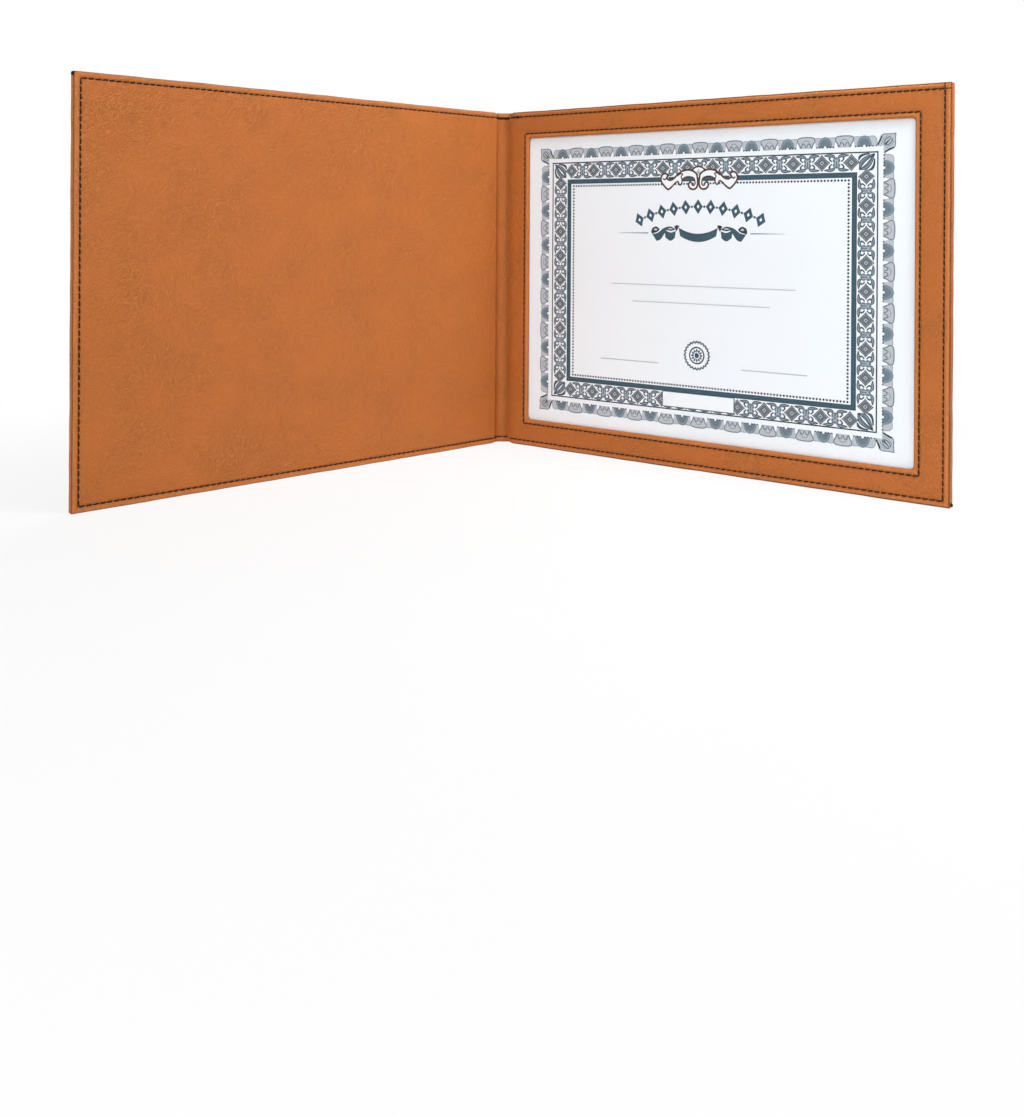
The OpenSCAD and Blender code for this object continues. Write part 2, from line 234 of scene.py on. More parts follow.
def make_piece(name, points, faces, material, uv=None, attributes=None):
    """Puts points (n, 3) in metres and faces with one number of corners into a new smooth mesh object.
    uv holds one pair for each point, attributes one number for each point."""
    points = np.asarray(points, float).reshape(-1, 3)
    faces = np.asarray(faces)
    mesh = bpy.data.meshes.new(name)
    mesh.vertices.add(len(points))
    mesh.vertices.foreach_set("co", points.ravel())
    mesh.loops.add(faces.size)
    mesh.loops.foreach_set("vertex_index", faces.ravel().astype(np.int32))
    mesh.polygons.add(len(faces))
    mesh.polygons.foreach_set("loop_start", (np.arange(len(faces)) * faces.shape[1]).astype(np.int32))
    mesh.update(calc_edges=True)
    mesh.polygons.foreach_set("use_smooth", np.ones(len(faces), bool))
    if uv is not None:
        layer = mesh.uv_layers.new(name="sheet")
        layer.data.foreach_set("uv", np.asarray(uv, float).reshape(-1, 2)[faces.ravel()].ravel())
    for key, values in (attributes or {}).items():
        layer = mesh.attributes.new(key, "FLOAT", "POINT")
        layer.data.foreach_set("value", np.asarray(values, np.float32).ravel())
    mesh.materials.append(material)
    piece = bpy.data.objects.new(name, mesh)
    bpy.context.scene.collection.objects.link(piece)
    return piece


def weld(piece):
    """Joins points closer than a thousandth of a millimetre, so that no face is empty."""
    joined = piece.modifiers.new("weld", "WELD")
    joined.merge_threshold = 1e-6


def thicken(piece):
    """Gives an open sheet its thickness, inwards from the face that shows."""
    wall = piece.modifiers.new("wall", "SOLIDIFY")
    wall.thickness = SHEET_WALL
    wall.offset = -1
    wall.use_rim = True


def ink(code):
    """An sRGB hex colour as linear red, green, blue and alpha: below 0.04045 a twelfth, above it the
    2.4 power."""
    srgb = np.array([int(code[k:k + 2], 16) for k in (0, 2, 4)]) / 255
    linear = np.where(srgb <= 0.04045, srgb / 12.92, ((srgb + 0.055) / 1.055) ** 2.4)
    return (*linear.tolist(), 1.0)


def node_adder(tree):
    """Empties a node tree and gives the function that adds a node to it."""
    tree.nodes.clear()

    def node(kind, settings=None, **links):
        """Adds one node. settings are its properties; links are its sockets, by name with _ for a space or
        by number after an i, each a number, a colour or another node's output."""
        made = tree.nodes.new("ShaderNode" + kind)
        for key, value in (settings or {}).items():
            setattr(made, key, value)
        for key, value in links.items():
            numbered = key[0] == "i" and key[1:].isdigit()
            socket = made.inputs[int(key[1:]) if numbered else key.replace("_", " ")]
            if isinstance(value, bpy.types.NodeSocket):
                tree.links.new(value, socket)
            else:
                socket.default_value = value
        return made

    return node


def new_material(name):
    """An empty node material, and the function that adds its nodes."""
    material = bpy.data.materials.new(name)
    material.use_nodes = True
    return material, node_adder(material.node_tree)


def milled_leatherette(name, colour, light, dark):
    """Polyurethane leatherette, embossed and milled: pebbles about 1 mm across broken up by slanting
    creases 2 to 8 mm long, a waxy skin of uneven gloss, a painted highlight where the creases gather and
    painted shade down in them, a paler tone where an edge is stretched with a painted highlight on its
    raised rim, and painted shade, with the glue line, in the joint with the sheet that meets it."""
    material, node = new_material(name)
    place = node("UVMap", {"uv_map": "sheet"}).outputs[0]
    # Clouds of tone 70 mm and 14 mm wide
    cloud = node("TexNoise", Vector=place, Scale=1 / 0.07, Detail=3.0, Roughness=0.55).outputs[0]
    patch = node("TexNoise", Vector=place, Scale=1 / 0.014, Detail=4.0, Roughness=0.6).outputs[0]
    # Pebbles: cells 1.1 mm wide, pushed about by a finer noise
    push = node("TexNoise", Vector=place, Scale=1 / 0.003, Detail=2.0).outputs[1]
    pushed = node(
        "VectorMath", {"operation": "MULTIPLY_ADD"}, i0=push, i1=(0.0009, 0.0009, 0.0), i2=place
    ).outputs[0]
    cell = node("TexVoronoi", {"feature": "DISTANCE_TO_EDGE"}, Vector=pushed, Scale=1 / 0.0011).outputs[0]
    pebble = node("MapRange", {"interpolation_type": "SMOOTHSTEP"}, Value=cell, From_Max=0.28).outputs[0]
    # Creases: noise drawn out along a slanting line, where it passes its middle value
    slant = node(
        "Mapping", {"vector_type": "TEXTURE"}, Vector=place,
        Rotation=(0, 0, np.radians(38)), Scale=(0.0026, 0.0011, 1),
    ).outputs[0]
    flow = node("TexNoise", Vector=slant, Scale=1.0, Detail=2.0, Roughness=0.5, Distortion=0.8).outputs[0]
    off = node("Math", {"operation": "SUBTRACT"}, i0=flow, i1=0.5).outputs[0]
    off = node("Math", {"operation": "ABSOLUTE"}, i0=off).outputs[0]
    crease = node("MapRange", {"interpolation_type": "SMOOTHSTEP"}, Value=off, From_Max=0.075).outputs[0]
    # The creases gather in clouds, and are nearly absent between them
    gather = node("TexNoise", Vector=place, Scale=1 / 0.028, Detail=3.0, Roughness=0.6).outputs[0]
    gather = node("MapRange", Value=gather, From_Min=0.38, From_Max=0.66, To_Min=0.8, To_Max=0.1).outputs[0]
    crease = node("Math", {"operation": "MAXIMUM"}, i0=crease, i1=gather).outputs[0]
    pebbles = node("Math", {"operation": "MULTIPLY"}, i0=pebble, i1=0.35).outputs[0]
    height = node("Math", {"operation": "MULTIPLY_ADD"}, i0=crease, i1=0.65, i2=pebbles).outputs[0]
    bump = node("Bump", Height=height, Strength=1.0, Distance=0.00045).outputs[0]
    tone = node("MapRange", Value=cloud, From_Min=0.3, From_Max=0.7).outputs[0]
    base = node("Mix", {"data_type": "RGBA"}, i0=tone, i6=ink(dark), i7=ink(colour)).outputs[2]
    # The folds between the creases catch the light, which keeps the creased clouds as bright as the rest
    tint = node("MapRange", Value=gather, From_Min=0.1, From_Max=0.8, To_Min=0.5, To_Max=0.08).outputs[0]
    base = node("Mix", {"data_type": "RGBA"}, i0=tint, i6=base, i7=ink(light)).outputs[2]
    # Painted shade: the colour darkens a little down in the creases
    sink = node("MapRange", Value=height, From_Min=0.2, From_Max=0.9, To_Min=0.12, To_Max=0.0).outputs[0]
    base = node("Mix", {"data_type": "RGBA"}, i0=sink, i6=base, i7=ink("7E3C16")).outputs[2]
    # Paler where an edge is stretched, with a painted highlight on the raised rim; where rim is below 0,
    # painted shade, with the glue line, down in the joint with the sheet that meets it
    rim = node("Attribute", {"attribute_name": "rim"}).outputs[2]
    stretch_and_highlight = node("MapRange", Value=rim, To_Max=0.4).outputs[0]
    base = node("Mix", {"data_type": "RGBA"}, i0=stretch_and_highlight, i6=base, i7=ink("D48D52")).outputs[2]
    joint = node("MapRange", Value=rim, From_Max=-1.0, To_Max=0.45).outputs[0]
    base = node("Mix", {"data_type": "RGBA"}, i0=joint, i6=base, i7=ink("4A210C")).outputs[2]
    gloss = node("MapRange", Value=patch, From_Min=0.3, From_Max=0.7, To_Min=0.44, To_Max=0.56).outputs[0]
    skin = node(
        "BsdfPrincipled", Base_Color=base, Normal=bump, Roughness=gloss, IOR=1.5, Specular_IOR_Level=0.32
    )
    node("OutputMaterial", Surface=skin.outputs[0])
    return material


outer_leatherette = milled_leatherette("milled_outer_leatherette", "B86625", "C17130", "B56323")

# How far up the edge the outer sheet is turned, to where the lining or the window frame is laid on it
outer_tops = {"front": 3.5, "back": 4.6}
outer_path = bent_path(
    [
        (COVER_W, HINGE_LEVEL),
        (-HINGE_LEVEL * np.tan(FOLD / 2), HINGE_LEVEL),
        (
            -HINGE_LEVEL * np.sin(FOLD) - SPINE_W / 2 * np.cos(FOLD),
            HINGE_LEVEL * np.cos(FOLD) - SPINE_W / 2 * np.sin(FOLD),
        ),
    ],
    [HINGE_LEVEL],
    -1,
)
# The arc length at the spine's mid-line, which is below 0 because 0 is where the cover's flat part ends
outer_start = outer_path[0][0]
# Stitches along the head and the foot, from the spine's mid-line to the fore edge
STITCHES = 80
outer_pitch = (COVER_W - SEAM_INSET - outer_start) / STITCHES
roll_lines = [*np.linspace(-HINGE_LEVEL * FOLD, 0, 7), 0.6, 1.3, 2.1, 2.7, 3.6, 4.4]
outer_lines = seam_lines(
    outer_start, COVER_W - BAND_END, outer_pitch, [outer_start, *roll_lines, *(COVER_W - seam_band[::-1])]
)
outer_lines = np.insert(outer_lines, 1, outer_start + CUT_ROW)


def bend_at_crease(piece):
    """Bakes the piece's placing into its points."""
    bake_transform(piece)


for side, seed in (("front", 2), ("back", 3)):
    top = outer_tops[side]
    points, s, v, rim = folded_sheet(
        side, outer_path, outer_lines, fold_profile(0.9, top, 0.0, 0.4),
        # Lower in the gutter and on the spine, where there is no board
        lambda s: np.interp(s, [2.6, 5.0], [1.1, top]), seed=seed,
    )
    # The back's half is the front's seen in a mirror; the offset picks a part of the pattern
    mirror = 1 if side == "back" else -1
    quads = grid_quads(*points.shape[:2])[:, ::mirror]
    uv = np.stack([mirror * (s - outer_start), v], -1) * 0.001 + (0.4, 0.1)
    piece = make_piece(f"{side}_leatherette", points, quads, outer_leatherette, uv, {"rim": rim})
    thicken(piece)
    bend_at_crease(piece)
    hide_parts(f"{side}_outer_skin", *(["spine_outer_skin"] if side == "back" else []))

# The lining: the same leatherette, laid over the front cover's padding, down into the gutter, over the
# spine and up beside the back cover's board, where its tail is tucked in under the pocket. It is also
# made as two halves that meet along the spine's mid-line.

FRONT_T = 4.3
# Where the lining steps down from the front board's edge: the step's top and foot. The tail's level and end
STEP_TOP, STEP_FOOT = 4.2, 1.7
GUTTER_W = 2.7
TAIL_LEVEL, TAIL_END = 2.95, 9.0
lining_leatherette = milled_leatherette("milled_lining_leatherette", "BB6928", "C57435", "B76526")
mid_spine = (-SPINE_W / 2 * np.cos(FOLD), -SPINE_W / 2 * np.sin(FOLD))

front_lining_path = bent_path(
    [(COVER_W, HINGE_LEVEL - FRONT_T), (STEP_TOP, HINGE_LEVEL - FRONT_T), (STEP_FOOT, 0), (0, 0), mid_spine],
    [2.5, 1.6, 0.8],
    1,
)
front_start = front_lining_path[0][0]
lining_pitch = (COVER_W - SEAM_INSET - front_start) / STITCHES


def front_lining_depth(s):
    """How far down the edge the lining reaches to meet the outer sheet's turned edge: less in the gutter
    and on the spine."""
    return np.interp(s, [0.4, 4.4], [0.7, FRONT_T - outer_tops["front"]])


front_lines = seam_lines(
    front_start, COVER_W - BAND_END, lining_pitch,
    [*np.linspace(front_start, 5.8, 34), *(COVER_W - seam_band[::-1])],
)
front_lines = np.insert(front_lines, 1, front_start + CUT_ROW)
lining_profile = fold_profile(0.55, 0.8, 0.4, 0.2)
points, s, v, rim = folded_sheet(
    "front", front_lining_path, front_lines, lining_profile, front_lining_depth,
    crown=0.22, seed=4, groove=0.75,
)
uv = np.stack([-(s - front_start), v], -1) * 0.001 + (0.9, 0.5)
front_lining = make_piece(
    "front_lining_leatherette", points, grid_quads(*points.shape[:2]), lining_leatherette, uv, {"rim": rim}
)
thicken(front_lining)

back_lining_path = bent_path(
    [
        (TAIL_END, HINGE_LEVEL - TAIL_LEVEL), (GUTTER_W, HINGE_LEVEL - TAIL_LEVEL), (GUTTER_W, 0), (0, 0),
        mid_spine,
    ],
    [0.35, 0.5, 0.8],
    1,
)
back_start = back_lining_path[0][0]


def back_lining_depth(s):
    """The tail's folded edge, 0.7 mm deep in the gutter and on the spine."""
    return np.full_like(s, 0.7)


back_lines = np.insert(np.linspace(back_start, TAIL_END, 44), 1, back_start + CUT_ROW)
points, s, v, rim = folded_sheet(
    "back", back_lining_path, back_lines, lining_profile, back_lining_depth,
    fore=False, seed=4, groove=0.75,
)
# The tucked-in part is cut back from the head and the foot
half = COVER_H / 2
tallest = 0.001 * (half - 1.6 * np.clip((s - 2.2) / 0.6, 0, 1))
points[..., 2] = 0.001 * half + np.clip(points[..., 2] - 0.001 * half, -tallest, tallest)
uv = np.stack([s - back_start, v], -1) * 0.001 + (0.9, 0.5)
back_lining = make_piece(
    "gutter_leatherette", points, grid_quads(*points.shape[:2])[:, ::-1], lining_leatherette, uv, {"rim": rim}
)
weld(back_lining)
thicken(back_lining)

for piece, side in ((front_lining, "front"), (back_lining, "back")):
    bend_at_crease(piece)
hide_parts("front_lining")
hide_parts("back_gutter_lining", "spine_lining")

# The window frame: one skin of the lining leatherette folded round a card's outer edges and, slit at its
# corners, through the card's window. It is sewn 3 mm outside the window, which leaves a rounded rim.

BACK_T = 5.65
STILE_W, RAIL_H = 19.5, 18.3
# The seam's way from the window, the window's corner radius, and how far outside it the corner is square
WINDOW_SEAM, WINDOW_R, WINDOW_SQUARE = 3.0, 2.5, 2.6
FRAME_SET_IN = 0.8
# Depths of the hems' faces under the frame's: outside, and inside the window
OUTER_HEM, WINDOW_HEM = 1.05, 2.15
turn = np.radians([0, 15, 30, 45, 60, 75, 90])
rolled = 1 - np.sin(turn), 1 - np.cos(turn)
# Rings from the hem under the outer edge, over the face, to the hem under the window's edge:
# inset from the outer edge, outset from the window, share of the way between them, depth
outer_rings = [(5.4, WINDOW_HEM), (5.0, OUTER_HEM), (1.5, OUTER_HEM), (1.0, 1.03), (0.86, 0.95)]
outer_rings += [(FRAME_SET_IN + 0.75 * a, 0.75 * b) for a, b in zip(rolled[0][::-1], rolled[1][::-1])]
outer_rings += [(a, 0.0) for a in (1.9, 2.3, 2.7, 3.05, 3.35, 3.6, 3.85, 4.15, 4.6, 5.5)]
window_rings = [(a, 0.0) for a in (6.6, 5.2, 4.3, 3.75, 3.4, 3.2, 3.0, 2.8, 2.6, 2.2, 1.75, 1.35)]
window_rings += [(a, b) for a, b in zip(*rolled)]
window_rings += [(0, 1.5), (0, 1.95), (0.12, 2.13), (0.5, WINDOW_HEM), (7.0, WINDOW_HEM)]
between = np.linspace(0, 1, 5)[1:-1]
share = np.concatenate([np.zeros(len(outer_rings)), between, np.ones(len(window_rings))])
inset = np.array([r[0] for r in outer_rings] + [outer_rings[-1][0]] * 3 + [0] * len(window_rings))
outset = np.array([0] * len(outer_rings) + [window_rings[0][0]] * 3 + [r[0] for r in window_rings])
ring_depth = np.array([r[1] for r in outer_rings] + [0] * 3 + [r[1] for r in window_rings])[:, None]


def ring_side(near, far):
    """Inset of every ring from one side of the outline: its own inset near the outer edge, the window's
    edge less its outset near the window, and a straight share of both between."""
    return (1 - share) * (near + inset) + share * (far - outset)


left, right = ring_side(GUTTER_W - FRAME_SET_IN, STILE_W), ring_side(0, STILE_W)
foot = ring_side(0, RAIL_H)
outer_round = np.clip(CORNER_R - inset, 0, None) * (share == 0)
window_round = np.clip(WINDOW_R * (1 - outset / WINDOW_SQUARE), 0, None) * (share == 1)
ring_round = np.maximum(outer_round + window_round, 1e-6)[:, None]


def side_steps(length, spacing):
    """Fractions along a side, evenly spaced but closer within 2.6 mm of its two corners; the far corner
    itself is left to the next side."""
    close = np.array([0, 0.3, 0.65, 1.05, 1.5, 2.0, 2.6])
    count = round((length - 5.2) / spacing)
    middle = np.linspace(2.6, length - 2.6, count + 1)[1:-1]
    return np.concatenate([close, middle, length - close[:0:-1]]) / length


def rounded_side(start, end, steps):
    """Points of one side of every ring, from corner to corner: straight, with the last stretch before
    each corner bent round its arc. The distance t to the corner gives the angle 45 (1 - t / r) degrees."""
    length = np.linalg.norm(end - start, axis=1)[:, None]
    run = (end - start) / length
    inward = np.stack([-run[:, 1], run[:, 0]], 1)
    t = steps[None, :] * length
    x, y = t.copy(), np.zeros_like(t)
    for ahead in (t, length - t):
        angle = np.pi / 4 * np.clip(1 - ahead / ring_round, 0, None)
        bent = ahead < ring_round
        from_corner = ring_round - ring_round * np.sin(angle)
        x = np.where(bent, from_corner if ahead is t else length - from_corner, x)
        y = np.where(bent, ring_round - ring_round * np.cos(angle), y)
    return start[:, None, :] + x[..., None] * run[:, None, :] + y[..., None] * inward[:, None, :]


ring_corners = [
    np.stack([left, foot], 1),
    np.stack([COVER_W - right, foot], 1),
    np.stack([COVER_W - right, COVER_H - foot], 1),
    np.stack([left, COVER_H - foot], 1),
]
steps_h, steps_v = side_steps(COVER_W - GUTTER_W, 1.27), side_steps(COVER_H, 1.27)
plan = np.concatenate(
    [
        rounded_side(ring_corners[k], ring_corners[(k + 1) % 4], steps)
        for k, steps in enumerate((steps_h, steps_v, steps_h, steps_v))
    ],
    axis=1,
)
u, v = plan[..., 0], plan[..., 1]
# Distances in from the head or foot, from the nearest open edge, and out from the window
in_end = half - np.abs(v - half)
near = np.minimum(in_end, COVER_W - u)
beside, above = STILE_W - COVER_W / 2 + np.abs(u - COVER_W / 2), RAIL_H - in_end
to_window = np.maximum(beside, above)
# Beside the gutter the skin stops above the pocket's mouth
by_gutter = np.clip(1 - (u - GUTTER_W) / 6, 0, 1)
mouth = by_gutter * np.clip((in_end - 7) / 3, 0, 1) * (share == 0)[:, None]
depth = ring_depth * np.where(ring_depth < 1.2, 1 + mouth * (WINDOW_HEM / OUTER_HEM - 1), 1)
flat = np.clip(1 - depth / 0.6, 0, 1)
frame_start = GUTTER_W + 1.0
FRAME_STITCHES, WINDOW_STITCHES_H, WINDOW_STITCHES_V = 78, 71, 52
frame_pitch = (COVER_W - SEAM_INSET - frame_start) / FRAME_STITCHES
window_pitch = (COVER_W - 2 * STILE_W + 2 * WINDOW_SEAM) / WINDOW_STITCHES_H
window_pitch_v = (COVER_H - 2 * RAIL_H + 2 * WINDOW_SEAM) / WINDOW_STITCHES_V
ends = pucker(np.abs(in_end - SEAM_INSET), u - frame_start, frame_pitch) * (u < COVER_W - SEAM_INSET + 0.4)
rise = pucker(np.abs(COVER_W - u - SEAM_INSET), v - SEAM_INSET, fore_pitch) * (near > SEAM_INSET - 0.4)
window_seam = np.where(
    beside > above,
    pucker(np.abs(to_window - WINDOW_SEAM), v - RAIL_H + WINDOW_SEAM, window_pitch_v),
    pucker(np.abs(to_window - WINDOW_SEAM), u - STILE_W + WINDOW_SEAM, window_pitch),
)
depth = depth + flat * np.maximum(np.maximum(ends, rise), window_seam)
# The frame slopes softly down to the gutter
depth = depth + by_gutter**2 * np.clip(OUTER_HEM - depth, 0, 1)
edge_pillow = np.sin(np.pi * np.clip(near / SEAM_INSET, 0, 1)) ** 2 * (to_window > WINDOW_SEAM)
window_pillow = np.sin(np.pi * np.clip(to_window / WINDOW_SEAM, 0, 1)) ** 2
depth = depth - flat * (EDGE_PILLOW * edge_pillow + 0.2 * window_pillow)
band_pillow = np.sin(np.pi * np.clip((near - SEAM_INSET) / (STILE_W - WINDOW_SEAM - SEAM_INSET), 0, 1)) ** 2
depth = depth - flat * 0.1 * band_pillow - 0.05 * flat * ripple(u, v, 9)
up = np.sign(v - half)
v = v + np.exp(-in_end / 4) * EDGE_WANDER * ripple(u * 2.2, 40 * up, 5) * up
u = u + np.exp(-(COVER_W - u) / 4) * EDGE_WANDER * ripple(v * 2.2, 90 + 0 * v, 6)
# Paler where the edges are stretched, with a painted highlight on the raised rims by the outer edge and by
# the window; painted shade, with the glue line, in the joint over the outer sheet's turned edge
rim = np.exp(-(((near - 1.7) / 1.1) ** 2)) + np.exp(-(((to_window - 1.2) / 0.9) ** 2))
rim = rim * np.clip(1.3 - depth, 0, 1) * np.clip((u - 6) / 4, 0, 1)
rim = rim - np.clip((ring_depth - 0.72) / 0.2, 0, 1) * (share == 0)[:, None] * (near < 1.2)
points = stand_up("back", u, HINGE_LEVEL - BACK_T + depth, v)
quads = grid_quads(*u.shape, ring=True)
uv = np.stack([u + 40, v], -1) * 0.001 + (0.9, 0.9)
frame_skin = make_piece("window_frame_leatherette", points, quads, lining_leatherette, uv, {"rim": rim})
thicken(frame_skin)
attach(frame_skin, "back_cover")
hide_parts("window_frame_skin")

# The boards and fillings inside the covers: grey board in each cover, a soft sheet over the front one,
# a card that stiffens the window frame, and dark paper behind the certificate.


def pressed_fibre(name, colour, fleck, size, gloss):
    """Board or paper pulped and pressed: a plain tone with flecks of fibre of the given size."""
    material, node = new_material(name)
    place = node("TexCoord").outputs["Object"]
    fibre = node("TexNoise", Vector=place, Scale=1 / size, Detail=5.0, Roughness=0.7).outputs[0]
    amount = node("MapRange", Value=fibre, From_Min=0.42, From_Max=0.62).outputs[0]
    tone = node("Mix", {"data_type": "RGBA"}, i0=amount, i6=ink(colour), i7=ink(fleck)).outputs[2]
    bump = node("Bump", Height=fibre, Strength=0.3, Distance=0.0001).outputs[0]
    face = node("BsdfPrincipled", Base_Color=tone, Normal=bump, Roughness=gloss)
    node("OutputMaterial", Surface=face.outputs[0])
    return material


greyboard = pressed_fibre("pressed_greyboard", "8F8C84", "6F6C66", 0.0016, 0.9)
frame_card = pressed_fibre("calendered_card", "B4AFA4", "9A958A", 0.0012, 0.85)
backing_paper = pressed_fibre("black_backing_paper", "2E2B29", "3C3936", 0.001, 0.8)
padding_foam = pressed_fibre("white_padding_sheet", "ECE9DF", "D8D4C8", 0.0008, 0.95)
for node_name, material in (
    ("front_board", greyboard), ("back_board", greyboard), ("frame_card", frame_card),
    ("pocket_backing", backing_paper), ("front_padding", padding_foam),
):
    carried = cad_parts[node_name].data.materials
    carried.clear()
    carried.append(material)

# The certificate: a landscape sheet of smooth white paper with an engraved border printed in blue-grey
# inks: a row of shells, a thin line, a band of lozenges and leaves, a thick line and a row of dots.

# Its face lies SHEET_TOP under the outer sheet's
SHEET_TOP = 3.1
SHEET_W, SHEET_H, SHEET_T = 279.4, 215.9, 0.12
smooth_paper = pressed_fibre("smooth_certificate_paper", "EBF3F9", "E8F0F6", 0.0005, 0.75)
x_lines = np.linspace(-SHEET_W / 2, SHEET_W / 2, 60)
y_lines = np.linspace(-SHEET_H / 2, SHEET_H / 2, 46)
x, y = np.meshgrid(x_lines, y_lines, indexing="ij")
lift = 0.008 * ripple(x, y, 7)
top = stand_up("back", COVER_W / 2 + x, HINGE_LEVEL - SHEET_TOP - lift, half + y)
base = stand_up("back", COVER_W / 2 + x, HINGE_LEVEL - SHEET_TOP + SHEET_T - lift, half + y)
count = x.size
quads = grid_quads(*x.shape)
edge = np.concatenate([
    np.arange(0, count, x.shape[1]), (x.shape[0] - 1) * x.shape[1] + np.arange(1, x.shape[1]),
    np.arange(count - 1 - x.shape[1], -1, -x.shape[1]), np.arange(x.shape[1] - 2, 0, -1),
])
walls = np.stack([edge, edge + count, np.roll(edge, -1) + count, np.roll(edge, -1)], -1)
paper = make_piece(
    "certificate_paper", np.concatenate([top.reshape(-1, 3), base.reshape(-1, 3)]),
    np.concatenate([quads, quads[:, ::-1] + count, walls]), smooth_paper,
)
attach(paper, "back_cover")
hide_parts("certificate")


def printing_ink(name, colour, deep):
    """Matt printing ink: a thin even film that pales a little where the paper's tooth shows through."""
    material, node = new_material(name)
    place = node("TexCoord").outputs["Object"]
    tooth = node("TexNoise", Vector=place, Scale=1 / 0.0012, Detail=3.0).outputs[0]
    tone = node("Mix", {"data_type": "RGBA"}, i0=tooth, i6=ink(colour), i7=ink(deep)).outputs[2]
    film = node("BsdfPrincipled", Base_Color=tone, Roughness=0.8, Specular_IOR_Level=0.15)
    node("OutputMaterial", Surface=film.outputs[0])
    return material


inks = {
    "teal": printing_ink("teal_engraving_ink", "244C5D", "1C4456"),
    "slate": printing_ink("slate_engraving_ink", "12262F", "0D1E26"),
    "mist": printing_ink("mist_engraving_ink", "788D9C", "6E8392"),
    "haze": printing_ink("haze_engraving_ink", "B9C0C7", "B1B8C0"),
    "shell": printing_ink("shell_engraving_ink", "657884", "5B6E7A"),
    "brown": printing_ink("brown_engraving_ink", "4E270B", "422008"),
    "white": printing_ink("bare_paper_white", "EEF5FA", "EBF2F8"),
}
# Every drawn shape is a strip of quads, collected by ink and by layer
drawn = {}


def strip(line_a, line_b, colour, layer):
    """A flat shape between two lines of equal point count, joined point by point."""
    drawn.setdefault((colour, layer), []).append((np.asarray(line_a, float), np.asarray(line_b, float)))


def stroke(points, width, colour, layer=0, closed=False):
    """A line of the given width, or widths: each point moved half a width to both sides of its tangent."""
    points = np.asarray(points, float)
    if closed:
        tangent = np.roll(points, -1, 0) - np.roll(points, 1, 0)
    else:
        tangent = np.gradient(points, axis=0)
    tangent /= np.maximum(np.linalg.norm(tangent, axis=1), 1e-9)[:, None]
    side = np.stack([-tangent[:, 1], tangent[:, 0]], 1) * (np.broadcast_to(width, len(points)) / 2)[:, None]
    a, b = points + side, points - side
    if closed:
        a, b = np.vstack([a, a[:1]]), np.vstack([b, b[:1]])
    strip(a, b, colour, layer)


def disc(centre, radius, colour, layer=0, *, count):
    """A filled circle of count sides: its upper half against its lower."""
    angle = np.linspace(0, np.pi, count // 2 + 1)
    x = centre[0] - radius * np.cos(angle)
    reach = radius * np.sin(angle)
    strip(np.stack([x, centre[1] + reach], 1), np.stack([x, centre[1] - reach], 1), colour, layer)


def smooth(points, per=6, closed=False):
    """A Catmull-Rom curve through the points: between two of them, the cubic whose slope at each is half
    the way between its neighbours."""
    p = np.asarray(points, float)
    if closed:
        p = np.vstack([p[-1:], p, p[:2]])
    else:
        p = np.vstack([2 * p[0] - p[1], p, 2 * p[-1] - p[-2]])
    t = np.linspace(0, 1, per, endpoint=False)[:, None]
    parts = []
    for a, b, c, e in zip(p[:-3], p[1:-2], p[2:-1], p[3:]):
        low, high = 2 * b + (c - a) * t, (2 * a - 5 * b + 4 * c - e) * t**2
        parts.append(0.5 * (low + high + (3 * b - a - 3 * c + e) * t**3))
    line = np.vstack(parts)
    return line if closed else np.vstack([line, p[-2]])


def moved(points, place):
    """Points turned by place[2] and shifted to (place[0], place[1]); place[3] is the stretch along x."""
    c, s = np.cos(place[2]), np.sin(place[2])
    x, y = points[:, 0] * place[3], points[:, 1]
    return np.stack([place[0] + c * x - s * y, place[1] + s * x + c * y], 1)


def repeat(shapes, places):
    """Draws all the strips of one motif at every place."""
    for place in places:
        for colour, layer, line_a, line_b in shapes:
            strip(moved(line_a, place), moved(line_b, place), colour, layer)


def captured(draw):
    """Runs a motif's drawing function, and gives its strips instead of leaving them on the sheet."""
    global drawn
    kept, drawn = drawn, {}
    draw()
    taken = [(colour, layer, a, b) for (colour, layer), strips in drawn.items() for a, b in strips]
    drawn = kept
    return taken


def rectangle(u0, v0, u1, v1, width, colour, layer=0):
    """A mitred frame of the given width, centred on the rectangle's line."""
    outer, inner = (
        [(u0 - w, v0 - w), (u1 + w, v0 - w), (u1 + w, v1 + w), (u0 - w, v1 + w), (u0 - w, v0 - w)]
        for w in (width / 2, -width / 2)
    )
    strip(outer, inner, colour, layer)


def round_places(u0, v0, u1, v1, steps, starts):
    """Places on the four sides of a rectangle, with x running along the side and y pointing outwards. The
    first lies start from the side's corner, the last as far from the other one, and those between are
    about a step apart. Gives the place, the angle and the step's share of the head's step."""
    places = []
    for ax, ay, bx, by, angle, k in (
        (u0, v1, u1, v1, 0, 0), (u1, v1, u1, v0, -np.pi / 2, 1),
        (u1, v0, u0, v0, np.pi, 0), (u0, v0, u0, v1, np.pi / 2, 1),
    ):
        length = np.hypot(bx - ax, by - ay)
        count = round((length - 2 * starts[k]) / steps[k]) + 1
        for t in np.linspace(starts[k], length - starts[k], count) / length:
            places.append((ax + (bx - ax) * t, ay + (by - ay) * t, angle, steps[k] / steps[0]))
    return places


def arc(cx, cy, rx, ry, a0, a1, count):
    """Points of an ellipse's arc, with its angles in degrees."""
    angle = np.radians(np.linspace(a0, a1, count))
    return np.stack([cx + rx * np.cos(angle), cy + ry * np.sin(angle)], 1)


# The shells stand on a line this far inside the middle of their row
SHELL_FOOT = -3.3


def standing(line, colour, layer, foot=SHELL_FOOT, narrow=1.0):
    """Fills the space between a line and the foot under it, which may be narrower than the line."""
    strip(line, np.stack([line[:, 0] * narrow, np.full(len(line), foot)], 1), colour, layer)


